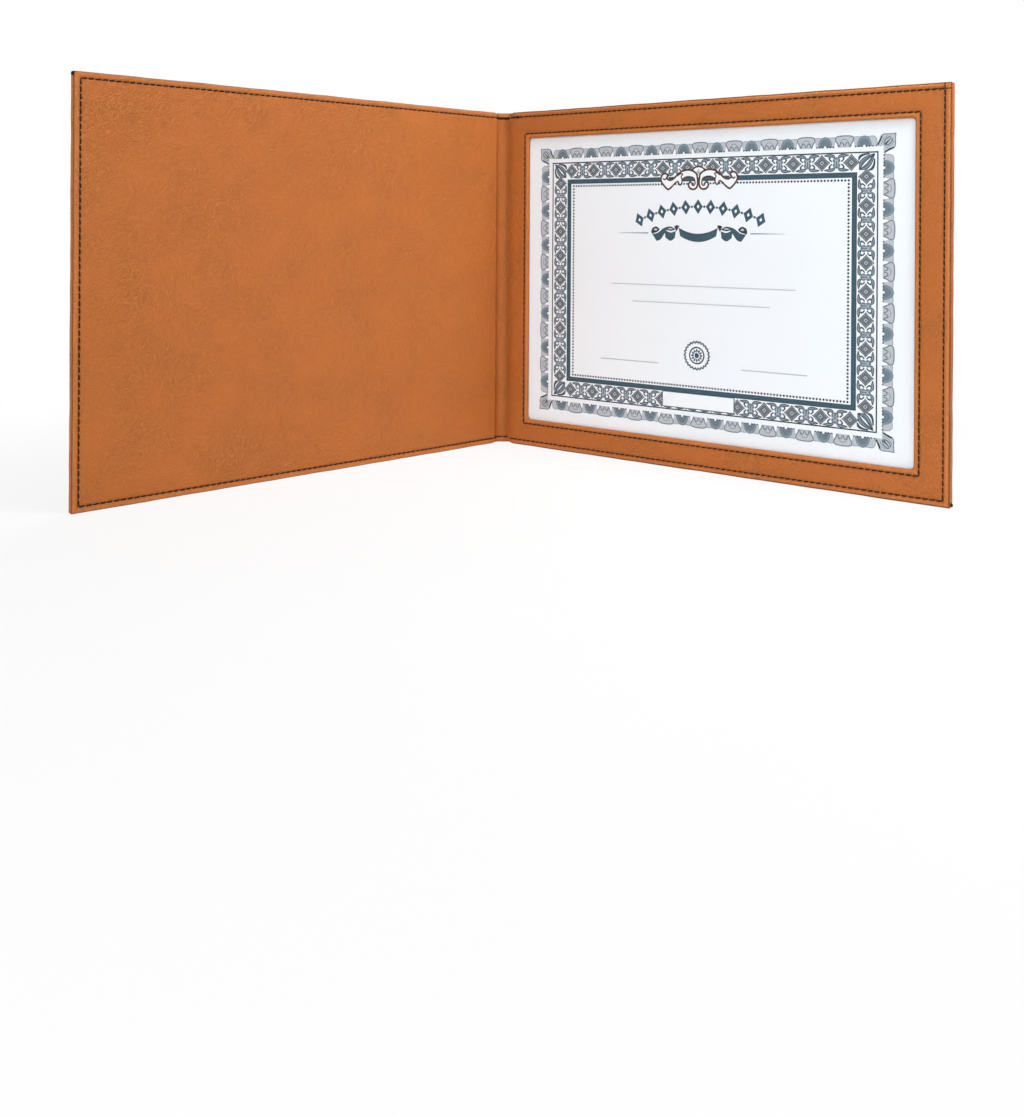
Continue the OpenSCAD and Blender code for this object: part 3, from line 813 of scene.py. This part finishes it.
def dark_shell():
    """A round dome on a paler round-shouldered shell, with dark teeth along the border's base line."""
    shoulder = [(7.5, SHELL_FOOT), (7.4, -0.8), (7.0, 1.2), (5.6, 2.4), (3.4, 2.4)]
    skirt = smooth([(-x, y) for x, y in shoulder] + [(0, 2.2)] + shoulder[::-1])
    standing(skirt, "haze", 0)
    stroke(skirt, 0.35, "mist", 0.5)
    for rx, ry, colour, layer in ((4.2, 6.1, "mist", 2), (3.0, 4.4, "shell", 3)):
        fan = arc(0, SHELL_FOOT, rx, ry, 0, 180, 15)
        standing(fan, colour, layer)
        stroke(fan, 0.3, "shell", layer + 0.5)
    for x in (-7.0, -5.0, -3.1, -1.4, 1.4, 3.1, 5.0, 7.0):
        disc((x, -3.1), 0.5, "slate", 4, count=6)
    disc((0, -3.0), 0.75, "white", 5, count=8)


def pale_shell():
    """An open fan, narrow at its foot, with a dark outline and two smaller petals in it."""
    ribs = [(3.3, SHELL_FOOT), (4.0, -1.4), (5.3, 0.9), (4.5, 2.7)]
    fan = smooth([(-x, y) for x, y in ribs] + [(0, 3.2)] + ribs[::-1])
    standing(fan, "haze", 6, SHELL_FOOT - 0.05, 0.5)
    stroke(fan, 0.65, "shell", 7)
    stroke(arc(0, SHELL_FOOT, 3.0, 4.6, 15, 165, 11), 0.4, "mist", 6.5)
    for side in (-1, 1):
        stroke(arc(side * 1.6, -3.2, 1.3, 2.6, 10, 170, 9), 0.6, "shell", 7)
        # Bare paper beside the fan's foot cuts it off sharply from its neighbour
        notch = smooth([(side * 5.0, -0.4), (side * 4.3, -1.9), (side * 3.8, -3.6)])
        outer = side * (5.5 - 0.5 * (notch[:, 1] + 0.4) / 3.2)
        strip(notch, np.stack([outer, notch[:, 1]], 1), "white", 8)


def lozenge():
    """Nested diamonds with drawn-in sides and a dark outline."""
    reaches = (4.9, 4.15, 3.75, 3.2, 2.1, 1.5, 0.7)
    colours = ("slate", "haze", "slate", "shell", "slate", "haze", "slate")
    for layer, (reach, colour) in enumerate(zip(reaches, colours)):
        t = np.linspace(-1, 1, 13)
        pinch = reach * (1 - np.abs(t)) ** 1.24
        strip(np.stack([t * reach * 1.06, pinch], 1), np.stack([t * reach * 1.06, -pinch], 1), colour, layer)


def leaf_cross():
    """A rosette in the space between two lozenges, with four leaves that rise from it and curl along the
    band's edges."""
    body = smooth([(0.0, 3.3), (1.7, 2.7), (2.3, 0.9), (1.5, 0.0), (2.3, -0.9), (1.7, -2.7), (0.0, -3.3)], 5)
    strip(body, body * (-1, 1), "shell", 3)
    vein = smooth([(-1.2, 2.0), (0.6, 0.9), (0.7, -0.8), (1.0, -2.2)])
    for tilt in (-1, 1):
        stroke(vein * (tilt, 1), 0.4, "haze", 4 + 0.5 * tilt)
    for side in (-1, 1):
        for up in (-1, 1):
            flip = np.array([side, up])
            top = smooth([(0.9, 3.4), (2.2, 4.6), (4.4, 4.8), (7.2, 4.3)])
            low = smooth([(0.9, 2.9), (2.7, 3.2), (4.7, 3.5), (7.2, 4.1)])
            strip(top * flip, low * flip, "mist", 1)
            stroke(np.vstack([top, low[::-1]]) * flip, 0.45, "slate", 2)
            curl = smooth([(2.7, 0.7), (3.9, 1.6), (4.4, 2.6), (3.6, 2.9)])
            stroke(curl * flip, [0.4] + [0.8] * (len(curl) - 2) + [0.9], "slate", 2.5)


def border_corner():
    """A square leaf over the corner of the shell border, with wings along both sides and two dark petals
    that rise from its inner corner."""
    foot = [(-3.2, SHELL_FOOT), (-7.4, SHELL_FOOT), (-6.3, -1.4)]
    wing = smooth([*foot, (-5.4, 0.7), (-4.4, 2.6), (-2.6, 3.3), (0.4, 3.2), (3.5, 3.5)], 5)
    for flip in ((0, 1), (1, 0)):
        strip(wing[:, flip], np.tile([(-1.6, -1.6)], (len(wing), 1)), "haze", 6 + 0.5 * flip[0])
        stroke(wing[6:, flip], 0.55, "shell", 7.5)
        stroke(smooth([(-6.6, -2.6), (-5.0, 0.4), (-4.4, 2.4)])[:, flip], 0.8, "slate", 8)
        stroke(smooth([(-3.0, -2.8), (-2.6, -0.4), (-0.6, 1.4), (0.9, 1.3)])[:, flip], 0.8, "shell", 8.5)
        stroke(smooth([(-4.6, -2.4), (-3.4, 0.6), (-0.8, 2.4)])[:, flip], 0.4, "mist", 7)
    stroke(np.array([(-2.4, -2.4), (0.6, 0.6)]), [1.0, 0.4], "slate", 9)


def band_corner():
    """Two leaves back to back along the diagonal of the lozenge band's corner, with a short one beside
    each."""
    for flip in ((0, 1), (1, 0)):
        top = smooth([(-4.2, -4.2), (-3.8, 0.2), (-0.8, 2.9), (4.6, 4.6)])
        low = smooth([(-4.2, -4.2), (-1.6, -0.6), (1.2, 1.9), (4.6, 4.4)])
        strip(top[:, flip], low[:, flip], "mist", 1)
        stroke(np.vstack([top, low[::-1]])[:, flip], 0.5, "slate", 2)
        stroke(smooth([(-3.2, -1.6), (-1.2, 1.0), (2.4, 3.3)])[:, flip], 0.45, "teal", 3)
        top = smooth([(-4.8, 1.2), (-4.2, 3.6), (-1.6, 4.7), (1.8, 4.8)])
        low = smooth([(-4.5, 1.1), (-3.2, 2.8), (-1.2, 3.9), (1.8, 4.4)])
        strip(top[:, flip], low[:, flip], "teal", 1)
        stroke(np.vstack([top, low[::-1]])[:, flip], 0.35, "slate", 2)


dark, pale, gem, cross, tip, bend = (
    captured(f) for f in (dark_shell, pale_shell, lozenge, leaf_cross, border_corner, band_corner)
)
# The border's middle lines, from outside to inside, each as left, foot, right and head
SHELL_ROW = (33.3, 29.6, 269.7, 199.0)
THIN_LINE = (39.9, 36.1, 263.1, 192.5)
LOZENGE_ROW = (46.3, 41.6, 256.7, 187.0)
THICK_LINE = (53.4, 48.5, 249.8, 179.9)
DOT_ROW = (57.0, 51.4, 246.4, 176.9)
repeat(dark, round_places(*SHELL_ROW, (23.0, 23.07), (14.4, 15.5)))
repeat(pale, round_places(*SHELL_ROW, (23.0, 23.07), (25.9, 27.03)))
repeat(gem, round_places(*LOZENGE_ROW, (17.53, 16.15), (8.8, 8.1)))
repeat(cross, round_places(*LOZENGE_ROW, (17.53, 16.15), (17.57, 16.2)))
# The corners, each turned by a quarter: number in the row of its left or right, and of its foot or head
for right, top, angle in ((2, 3, 0), (0, 3, 90), (0, 1, 180), (2, 1, 270)):
    repeat(tip, [(SHELL_ROW[right], SHELL_ROW[top], np.radians(angle), 1.0)])
    repeat(bend, [(LOZENGE_ROW[right], LOZENGE_ROW[top], np.radians(angle), 1.0)])
rectangle(*THIN_LINE, 0.8, "slate")
rectangle(*THICK_LINE, 3.0, "teal", 7)
for inward in (-1.3, 1.3):
    rectangle(*(np.array(THICK_LINE) + inward * np.array([1, 1, -1, -1])), 0.4, "slate", 7.5)
dots = round_places(*DOT_ROW, (2.03, 2.03), (0.0, 0.0))
# Neighbouring sides share their corner's dot
for place in sorted({(round(u, 3), round(v, 3)) for u, v, angle, stretch in dots}):
    disc(place, 0.74, "slate", count=6)


# The middle of the crest on the border's head, at its foot
CREST = (150.45, 174.2)


def scroll_half(side):
    """Half of the acanthus crest, from the middle outwards: a white arm with a brown outline, which curls
    in by the middle, has a hooked leaflet under it and ends in a broad turned-up tip."""
    lines = {
        "top": [
            (0.6, 5.5), (1.2, 8.4), (3.2, 10.2), (6.6, 11.3), (10.9, 10.8), (14.4, 8.7), (17.8, 5.9),
            (20.4, 5.2), (22.6, 6.5),
        ],
        "low": [
            (2.5, 4.4), (3.1, 5.8), (4.7, 6.7), (6.8, 7.0), (8.8, 6.8), (11.4, 5.5), (14.4, 4.4),
            (16.1, 3.5), (18.3, 1.4),
        ],
        "tip": [
            (22.6, 6.5), (21.7, 8.2), (23.4, 9.5), (25.6, 8.7), (26.6, 6.1), (26.0, 3.9), (24.3, 1.8),
            (22.6, 0.1), (20.9, -0.5), (18.3, 1.4),
        ],
        "curl": [
            (0.6, 5.5), (0.5, 2.6), (1.2, 0.4), (3.2, -0.8), (5.6, -0.2), (6.9, 1.6), (6.3, 3.4), (4.9, 3.7)
        ],
        "eye": [
            (2.5, 4.4), (2.3, 3.2), (2.6, 2.2), (3.3, 1.6), (4.0, 1.7), (4.4, 2.3), (4.6, 2.8), (4.9, 3.7)
        ],
        "hook": [(11.4, 5.5), (11.7, 3.1), (13.1, 2.0), (14.4, 4.4)],
        "vein": [(11.4, 5.5), (12.1, 7.2), (11.0, 8.8), (13.0, 8.9), (14.8, 7.6)],
        "fold": [(22.6, 6.5), (23.8, 5.6), (25.2, 6.4)],
    }
    lines = {key: smooth(line, 5) * (side, 1) + CREST for key, line in lines.items()}
    strip(lines["top"], lines["low"], "white", 9)
    strip(lines["curl"], lines["eye"], "white", 9)
    for key, (out, up) in (("tip", (20.3, 3.9)), ("hook", (13.0, 5.0))):
        strip(lines[key], np.tile([(CREST[0] + side * out, CREST[1] + up)], (len(lines[key]), 1)), "white", 9)
    widths = {"top": 1.2, "tip": 1.2, "curl": 1.2, "eye": 0.9, "hook": 1.0, "vein": 0.8, "fold": 0.9}
    for key, width in widths.items():
        stroke(lines[key], width, "brown", 10)
    # The lower outline is left open where the hook joins it
    for part in (slice(0, 26), slice(30, None)):
        stroke(lines["low"][part], 1.05, "brown", 10)


for side in (-1, 1):
    scroll_half(side)
oval = [(-4.25, 10.0), (-2.85, 12.4), (0, 13.2), (2.85, 12.4), (4.25, 10.0), (0, 5.8)]
oval = smooth(np.array(oval) + CREST, 6, closed=True)
strip(oval, np.tile([(CREST[0], CREST[1] + 10.2)], (len(oval), 1)), "white", 8)
stroke(oval, 1.0, "brown", 8.5, closed=True)
for reach, colour, layer in ((1.9, "brown", 11), (1.4, "white", 12), (0.7, "brown", 13)):
    diamond = reach * np.array([(-0.7, 0), (0, 1), (0.7, 0)])
    strip(*(diamond * (1, way) + CREST + (0, 9.7) for way in (1, -1)), colour, layer)

# A plain arch of eleven lozenges with beads between them, on a circle round a point below. The arch and
# the ribbon under it have one middle.
ARCH_U, ARCH_V, ARCH_R, ARCH_SPAN = 150.3, 50.4, 112.3, 22.0
for k, angle in enumerate(np.radians(np.linspace(90 + ARCH_SPAN, 90 - ARCH_SPAN, 21))):
    place = (ARCH_U + ARCH_R * np.cos(angle), ARCH_V + ARCH_R * np.sin(angle), angle - np.pi / 2, 1)
    if k % 2:
        disc(place[:2], 0.8, "teal", count=10)
        continue
    t = np.linspace(-1, 1, 9)
    for reach, colour, layer in ((4.7, "teal", 0), (1.3, "white", 1)):
        shape = np.stack([t * reach * 0.72, reach * (1 - np.abs(t)) ** 1.1], 1)
        strip(moved(shape, place), moved(shape * (1, -1), place), colour, layer)

# The ribbon: a sagging middle band, and on each side a small fold, a roll and a curled end
sag = np.linspace(-1, 1, 25)
band_top = np.stack([ARCH_U + 13.6 * sag, 145.7 + 3.7 * sag**2], 1)
band_foot = np.stack([ARCH_U + 12.6 * sag, 145.7 + 3.7 * sag**2 - 4.6], 1)
strip(band_top, band_foot, "teal", 0)
for line in (band_top, band_foot):
    stroke(line, 0.45, "slate", 1)

# Each fold of the ribbon: its upper line, its lower line, its ink and its layer, out from the middle
folds = (
    (
        [(13.0, 150.8), (14.8, 151.2), (16.8, 150.4)],
        [(14.2, 148.8), (15.0, 147.4), (15.4, 147.6)], "slate", 2,
    ),
    ([(15.6, 147.6), (19.4, 146.6), (23.6, 148.2)], [(16.2, 143.2), (19.4, 141.4), (23.0, 143.4)], "teal", 1),
    (
        [(15.8, 148.6), (19.4, 150.4), (23.4, 149.2)],
        [(16.6, 148.2), (19.4, 147.6), (22.8, 148.4)], "slate", 2,
    ),
    (
        [(20.8, 150.4), (24.6, 149.2), (28.6, 146.4), (32.6, 145.6)],
        [(22.2, 148.0), (24.2, 145.2), (26.6, 142.2), (29.4, 141.2)], "teal", 2.5,
    ),
    (
        [(27.2, 148.8), (29.8, 150.4), (32.6, 149.2), (33.4, 147.0)],
        [(28.0, 147.4), (29.8, 146.6), (31.4, 146.2), (32.8, 145.6)], "slate", 3,
    ),
    ([(28.8, 148.6), (30.2, 149.2), (31.4, 148.6)], [(29.0, 148.0), (30.2, 147.8), (31.2, 147.9)], "haze", 4),
    ([(17.6, 149.0), (19.4, 149.5), (21.4, 149.0)], [(17.8, 148.7), (19.4, 148.5), (21.2, 148.7)], "haze", 3),
)
for side in (-1, 1):
    for upper, lower, colour, layer in folds:
        strip(*(smooth(line) * (side, 1) + (ARCH_U, 0) for line in (upper, lower)), colour, layer)
    rule = np.stack([ARCH_U + side * np.linspace(35.5, 57.5, 12), np.full(12, 146.2)], 1)
    stroke(rule, np.linspace(0.8, 0.2, 12), "mist")

# Dotted rules: start, end, height and step
rules = ((88, 214, 113.4, 1.7), (104, 198, 102.6, 1.7), (80, 122.2, 64.2, 1.5), (180.9, 222.6, 64.2, 1.5))
for u0, u1, level, step in rules:
    for u in np.arange(u0, u1, step):
        disc((u, level), 0.42, "slate", count=6)

# A plain rosette: rings, the outer two with 24 waves, and twelve petals
ROSETTE = (150.0, 70.8)
t = np.radians(np.linspace(0, 360, 97))
for layer, (radius, colour) in enumerate(
    ((8.9, "teal"), (7.7, "white"), (5.4, "slate"), (4.5, "white"), (1.6, "teal"))
):
    wave = radius + (0.5 * np.cos(24 * t) if layer < 2 else 0)
    ring = np.stack([wave * np.cos(t), wave * np.sin(t)], 1) + ROSETTE
    strip(ring, np.tile([ROSETTE], (len(ring), 1)), colour, layer)
petal = np.stack([np.linspace(1.8, 4.2, 7), 0.66 * np.sin(np.linspace(0, np.pi, 7))], 1)
for angle in np.radians(np.arange(0, 360, 30)):
    strip(*(moved(petal * (1, way), (*ROSETTE, angle, 1)) for way in (1, -1)), "teal", 5)

# A bare plate in the foot of the border
PLATE = (125.9, 37.6, 175.5, 46.9)
u0, v0, u1, v1 = PLATE
strip([(u0, v1), (u1, v1)], [(u0, v0), (u1, v0)], "white", 11)
rectangle(*PLATE, 0.5, "teal", 12)

# Each ink is one piece, each layer LAYER_STEP above the last. The print lies a little nearer to the spine
# than the sheet's middle.
PRINT_SHIFT, PRINT_GAP, LAYER_STEP = 1.1, 0.022, 0.005
for colour, material in inks.items():
    points, quads, base = [], [], 0
    for (tint, layer), strips in drawn.items():
        if tint != colour:
            continue
        level = HINGE_LEVEL - SHEET_TOP - PRINT_GAP - LAYER_STEP * layer
        for a, b in strips:
            # One winding for all: the shape's signed area tells which way its outline runs
            loop = np.vstack([a, b[::-1]])
            area = np.sum(loop[:, 0] * np.roll(loop[:, 1], -1) - np.roll(loop[:, 0], -1) * loop[:, 1])
            if area > 0:
                a, b = b, a
            n = len(a)
            u, v = np.vstack([a, b]).T
            points.append(stand_up("back", u - PRINT_SHIFT, np.full(2 * n, level), v))
            k = np.arange(n - 1)
            quads.append(base + np.stack([k, k + n, k + n + 1, k + 1], -1))
            base += 2 * n
    points, quads = np.concatenate(points), np.concatenate(quads)
    print_piece = make_piece(f"certificate_print_{colour}", points, quads, material)
    print_piece.data.polygons.foreach_set("use_smooth", np.zeros(len(print_piece.data.polygons), bool))
    weld(print_piece)
    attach(print_piece, "back_cover")

# The clear film over the certificate: a calendered sheet of soft PVC, almost colourless, with a smooth
# gloss. It is the CAD's own piece.

clear_film, node = new_material("clear_calendered_film")
plastic = node("BsdfPrincipled", Base_Color=ink("EEF3F7"), Roughness=0.12, IOR=1.53, Alpha=0.025)
node("OutputMaterial", Surface=plastic.outputs[0])
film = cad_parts["window_film"].data.materials
film.clear()
film.append(clear_film)

# The seams: black twisted polyester thread, 0.75 mm thick, in a lock stitch 3.8 mm long. Each stitch
# shows as a short slanting bar that dives into its needle holes.


def twisted_thread(name):
    """Bonded polyester thread: two plies twisted at 30 degrees, near black, with a faint sheen."""
    material, node = new_material(name)
    place = node("UVMap", {"uv_map": "sheet"}).outputs[0]
    lay = node("Mapping", Vector=place, Rotation=(0, 0, np.radians(30))).outputs[0]
    ply = node("TexWave", {"wave_type": "BANDS"}, Vector=lay, Scale=1 / 0.0031, Distortion=0.6).outputs[1]
    tone = node("Mix", {"data_type": "RGBA"}, i0=ply, i6=ink("0B0908"), i7=ink("1F1915")).outputs[2]
    bump = node("Bump", Height=ply, Strength=0.6, Distance=0.00006).outputs[0]
    yarn = node("BsdfPrincipled", Base_Color=tone, Normal=bump, Roughness=0.7, Specular_IOR_Level=0.2)
    node("OutputMaterial", Surface=yarn.outputs[0])
    return material


black_thread = twisted_thread("black_bonded_thread")


def stitch_bars(centre, along, across, up, length):
    """One bar for each row of centre, along, across and up: a tube of six sides. With t from -1 to 1 along
    it, its middle rises as 1 - |t|^5 and slants as t, and its radius narrows as |t|^6 towards the needle
    holes. Closed at both ends by two quads."""
    t = np.array([-1, -0.86, -0.6, -0.2, 0.2, 0.6, 0.86, 1.0])
    sides = 6
    radius = 0.37 * (1 - 0.55 * np.abs(t) ** 6)
    rise = 0.42 * (1 - np.abs(t) ** 5) - 0.36
    ring = np.radians(np.arange(sides) * 360 / sides)
    x = t[:, None] / 2 + 0 * ring[None, :]
    y = (0.1275 * t)[:, None] + radius[:, None] * np.cos(ring)[None, :]
    z = rise[:, None] + radius[:, None] * np.sin(ring)[None, :]
    bar = np.stack([x, y, z], -1).reshape(-1, 3)
    length = length[:, None, None]
    # A short stitch is a little thinner too
    slim = np.minimum(1, 0.6 + length / 8)
    section = bar[None, :, 1:2] * across[:, None, :] + bar[None, :, 2:3] * up[:, None, :]
    points = centre[:, None, :] + 0.001 * (bar[None, :, 0:1] * along[:, None, :] * length + section * slim)
    last = (len(t) - 1) * sides
    caps = np.array([[0, 1, 2, 3], [0, 3, 4, 5], [3, 2, 1, 0], [5, 4, 3, 0]]) + [[0], [0], [last], [last]]
    quads = np.concatenate([grid_quads(len(t), sides, ring=True)[:, ::-1], caps])
    faces = quads[None, :, :] + len(bar) * np.arange(len(centre))[:, None, None]
    # The twist runs on from stitch to stitch: along the thread, and round it
    number = np.arange(len(centre))[:, None]
    u = (bar[None, :, 0] * 3.4 + STITCH * number) * 0.001
    w = np.broadcast_to((np.tile(ring, len(t)) * 0.31 * 0.001)[None, :], u.shape)
    return points.reshape(-1, 3), faces.reshape(-1, 4), np.stack([u, w], -1).reshape(-1, 2)


# How deep a stitch's middle sinks into the leatherette, and its share of the way between its needle holes
SINK = 0.12
SHOWN = 0.86


def seam_run(side, path, s_values, v_values, sink=SINK):
    """The stitches between successive needle holes on a path's surface: their middles, their directions
    along, across and up, and their lengths in mm."""
    where, face = along_path(path, np.asarray(s_values, float))
    holes = stand_up(side, where[:, 0], where[:, 1], v_values)
    tip = stand_up(side, where[:, 0] + face[:, 0], where[:, 1] + face[:, 1], v_values)
    up = (tip - holes) * 1000
    centre = (holes[1:] + holes[:-1]) / 2
    run = holes[1:] - holes[:-1]
    length = np.linalg.norm(run, axis=1)[:, None]
    up = up[1:] + up[:-1]
    up /= np.linalg.norm(up, axis=1)[:, None]
    along = run / length
    return centre - up * sink * 0.001, along, np.cross(up, along), up, length[:, 0] * 1000 * SHOWN


def end_runs(side, path, s_values, levels, sink=SINK):
    """One run of stitches at each of the levels, which are heights above the cover's foot."""
    return [seam_run(side, path, s_values, np.full(len(s_values), level), sink) for level in levels]


def sew(name, runs, node_names):
    """Makes one piece from its runs of stitches, and replaces the plain threads of the CAD."""
    joined = [np.concatenate(parts) for parts in zip(*runs)]
    points, faces, uv = stitch_bars(*joined)
    # Faces point outwards where across, along and up make a right-handed set
    handed = np.sign(np.einsum("ij,ij->i", np.cross(joined[1], joined[2]), joined[3]))[0]
    if handed < 0:
        faces = faces[:, ::-1]
    piece = make_piece(name, points, faces, black_thread, uv)
    if node_names:
        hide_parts(*node_names)
    return piece


frame_face = bent_path(
    [
        (COVER_W, HINGE_LEVEL - BACK_T), (7.2, HINGE_LEVEL - BACK_T), (3.1, HINGE_LEVEL - BACK_T + 0.8),
        (2.5, 0), (0, 0), mid_spine,
    ],
    [5.0, 0.8, 0.8, 0.8], 1,
)
high, low = COVER_H - SEAM_INSET, SEAM_INSET
fore_v = np.linspace(low, high, FORE_STITCHES + 1)
fore_s = np.full(FORE_STITCHES + 1, COVER_W - SEAM_INSET)
for side, cover in (("front", "front_cover"), ("back", "back_cover")):
    crossing = np.arange(STITCHES + 1)
    runs = end_runs(side, outer_path, outer_start + outer_pitch * crossing, (low, high))
    runs.append(seam_run(side, outer_path, fore_s, fore_v))
    # The outside seam runs on over the spine, and bends with the leatherette
    threads = [f"{side}_bobbin_thread"] + (["spine_bobbin_thread"] if side == "back" else [])
    bend_at_crease(sew(f"{side}_outside_stitches", runs, threads))
    # Short stitches follow the leatherette down into the gutter
    if side == "front":
        path, start = front_lining_path, front_start
        holes_in = front_start + lining_pitch * crossing
        inner = np.concatenate([[-1.0, 0.9, 2.5, 3.9], holes_in[holes_in > 5.2]])
    else:
        path, start = frame_face, back_start
        holes_in = frame_start + frame_pitch * np.arange(1, FRAME_STITCHES + 1)
        inner = np.concatenate([[-2.9, -1.2, 0.3, 1.7, 3.1, 4.6], holes_in])
    runs = end_runs(side, path, inner, (low, high))
    # The seam's two ends overlap at the head across the gutter, and the last run passes the far corner
    again = inner[inner < (12 if side == "back" else 6)] + 0.5
    runs += end_runs(side, path, again, (high + 0.45, high - 0.3), -0.05)
    if side == "back":
        runs.append(seam_run(side, path, [COVER_W - SEAM_INSET, COVER_W - 0.3], [high, high]))
        runs.append(seam_run(side, path, [COVER_W - SEAM_INSET] * 2, [high, COVER_H - 0.3]))
    # A short tail of three strands hangs out of the fore edge by one corner
    low_tail = {"front": (225.9, 228.5), "back": (0.4, 3.0)}[side]
    facing = np.append(leaves[side][1], 0.0)
    for shift, out in ((0.0, 0.35), (0.55, 0.55), (-0.5, 0.15)):
        ends = stand_up(side, [COVER_W + out] * 2, [-0.9 + shift, -1.7 + shift], low_tail)
        rise = (ends[1] - ends[0]) / np.linalg.norm(ends[1] - ends[0])
        strand = (ends.mean(0), rise, np.cross(facing, rise), facing, 2.6 - out)
        runs.append(tuple(np.array([part]) for part in strand))
    runs.append(seam_run(side, path, fore_s, fore_v))
    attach(sew(f"{side}_inside_stitches", runs, [f"{side}_needle_thread"]), cover)
    # One stitch on each half of the spine, with the overlapping ends beside it at the head
    mid_path = front_lining_path if side == "front" else back_lining_path
    span = start + np.array([0.0, 3.6])
    spine_runs = end_runs(side, mid_path, span, (low, high))
    for run in end_runs(side, mid_path, span, (high + 0.5, high - 0.35), -0.1):
        spine_runs.append((*run[:4], run[4] * 1.25))
    threads = ["spine_needle_thread"] if side == "back" else []
    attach(sew(f"spine_inside_stitches_{side}", spine_runs, threads), "spine")

window_u = np.linspace(STILE_W - WINDOW_SEAM, COVER_W - STILE_W + WINDOW_SEAM, WINDOW_STITCHES_H + 1)
window_v = np.linspace(RAIL_H - WINDOW_SEAM, COVER_H - RAIL_H + WINDOW_SEAM, WINDOW_STITCHES_V + 1)
runs = end_runs("back", frame_face, window_u, (window_v[0], window_v[-1]))
for level in (window_u[0], window_u[-1]):
    runs.append(seam_run("back", frame_face, np.full(len(window_v), level), window_v))
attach(sew("window_stitches", runs, ["window_thread"]), "back_cover")

# The stage: a pale floor under plain soft studio light, before a white ground.

floor_material, node = new_material("pale_floor_paint")
place = node("TexCoord").outputs["Object"]
speck = node("TexNoise", Vector=place, Scale=1 / 0.05, Detail=2.0).outputs[0]
tone = node("Mix", {"data_type": "RGBA"}, i0=speck, i6=ink("F4F4F4"), i7=ink("F7F7F7")).outputs[2]
paint = node("BsdfPrincipled", Base_Color=tone, Roughness=0.9).outputs[0]
rays = node("LightPath").outputs
seen = node("Math", {"operation": "MAXIMUM"}, i0=rays["Is Camera Ray"], i1=rays["Is Glossy Ray"]).outputs[0]
seen = node("Math", {"operation": "MAXIMUM"}, i0=seen, i1=rays["Is Transmission Ray"]).outputs[0]
# Far from the object the floor runs into the white ground
far = node("VectorMath", {"operation": "LENGTH"}, i0=place).outputs[1]
share_of_glow = node(
    "MapRange", {"interpolation_type": "SMOOTHSTEP"}, Value=far,
    From_Min=0.2, From_Max=0.55, To_Min=0.8, To_Max=1.0,
).outputs[0]
amount = node("Math", {"operation": "MULTIPLY"}, i0=seen, i1=share_of_glow).outputs[0]
glow = node("Emission", Color=(1, 1, 1, 1), Strength=1.0).outputs[0]
mixed = node("MixShader", i0=amount, i1=paint, i2=glow).outputs[0]
node("OutputMaterial", Surface=mixed)
edge = np.linspace(-6, 6, 13)
x, y = np.meshgrid(edge, edge, indexing="ij")
floor = make_piece("floor", np.stack([x, y, 0 * x], -1), grid_quads(13, 13), floor_material)

world = bpy.data.worlds.new("white_ground")
bpy.context.scene.world = world
world.use_nodes = True
node = node_adder(world.node_tree)
rays = node("LightPath").outputs
seen = node("Math", {"operation": "MAXIMUM"}, i0=rays["Is Camera Ray"], i1=rays["Is Glossy Ray"]).outputs[0]
strength = node("MapRange", Value=seen, To_Min=0.17, To_Max=1.0).outputs[0]
ground = node("Background", Color=(1, 1, 1, 1), Strength=strength).outputs[0]
node("OutputWorld", Surface=ground)


def soft_lamp(name, place, aim, size, power):
    """A square studio lamp at place, turned to aim."""
    lamp = bpy.data.lights.new(name, "AREA")
    lamp.size = size
    lamp.energy = power
    made = bpy.data.objects.new(name, lamp)
    bpy.context.scene.collection.objects.link(made)
    made.location = place
    direction = Vector(aim) - Vector(place)
    made.rotation_euler = direction.to_track_quat("-Z", "Y").to_euler()


soft_lamp("key_lamp", (0.35, 0.08, 0.55), (-0.14, 0.1, 0.1), 0.3, 2.9)
soft_lamp("fill_lamp", (0.7, -2.4, 1.1), (0.0, 0.1, 0.1), 1.6, 38)
soft_lamp("top_lamp", (0.1, -0.1, 1.4), (0.0, 0.0, 0.0), 1.2, 2.2)
soft_lamp("back_lamp", (-0.9, 2.2, 1.2), (0.0, 0.1, 0.1), 1.6, 30)

# The camera stands before the open covers, level, a little below the middle of their height, with the
# picture's frame moved down as a view camera does, so that upright edges stay upright.

camera = bpy.data.cameras.new("camera")
camera.sensor_width = 36
camera.lens = 37.572
camera.shift_y = -0.2959
view = bpy.data.objects.new("camera", camera)
bpy.context.scene.collection.objects.link(view)
# Turned round the upright, stood level, and rolled by a third of a degree
turned, level, rolled = (
    Matrix.Rotation(np.radians(degrees), 4, axis) for degrees, axis in ((37.939, "Z"), (90, "X"), (0.34, "Z"))
)
turn_to = turned @ level @ rolled
view.matrix_world = Matrix.Translation((0.373896, -0.487318, 0.148831)) @ turn_to
bpy.context.scene.camera = view
bpy.context.scene.view_settings.view_transform = "Standard"
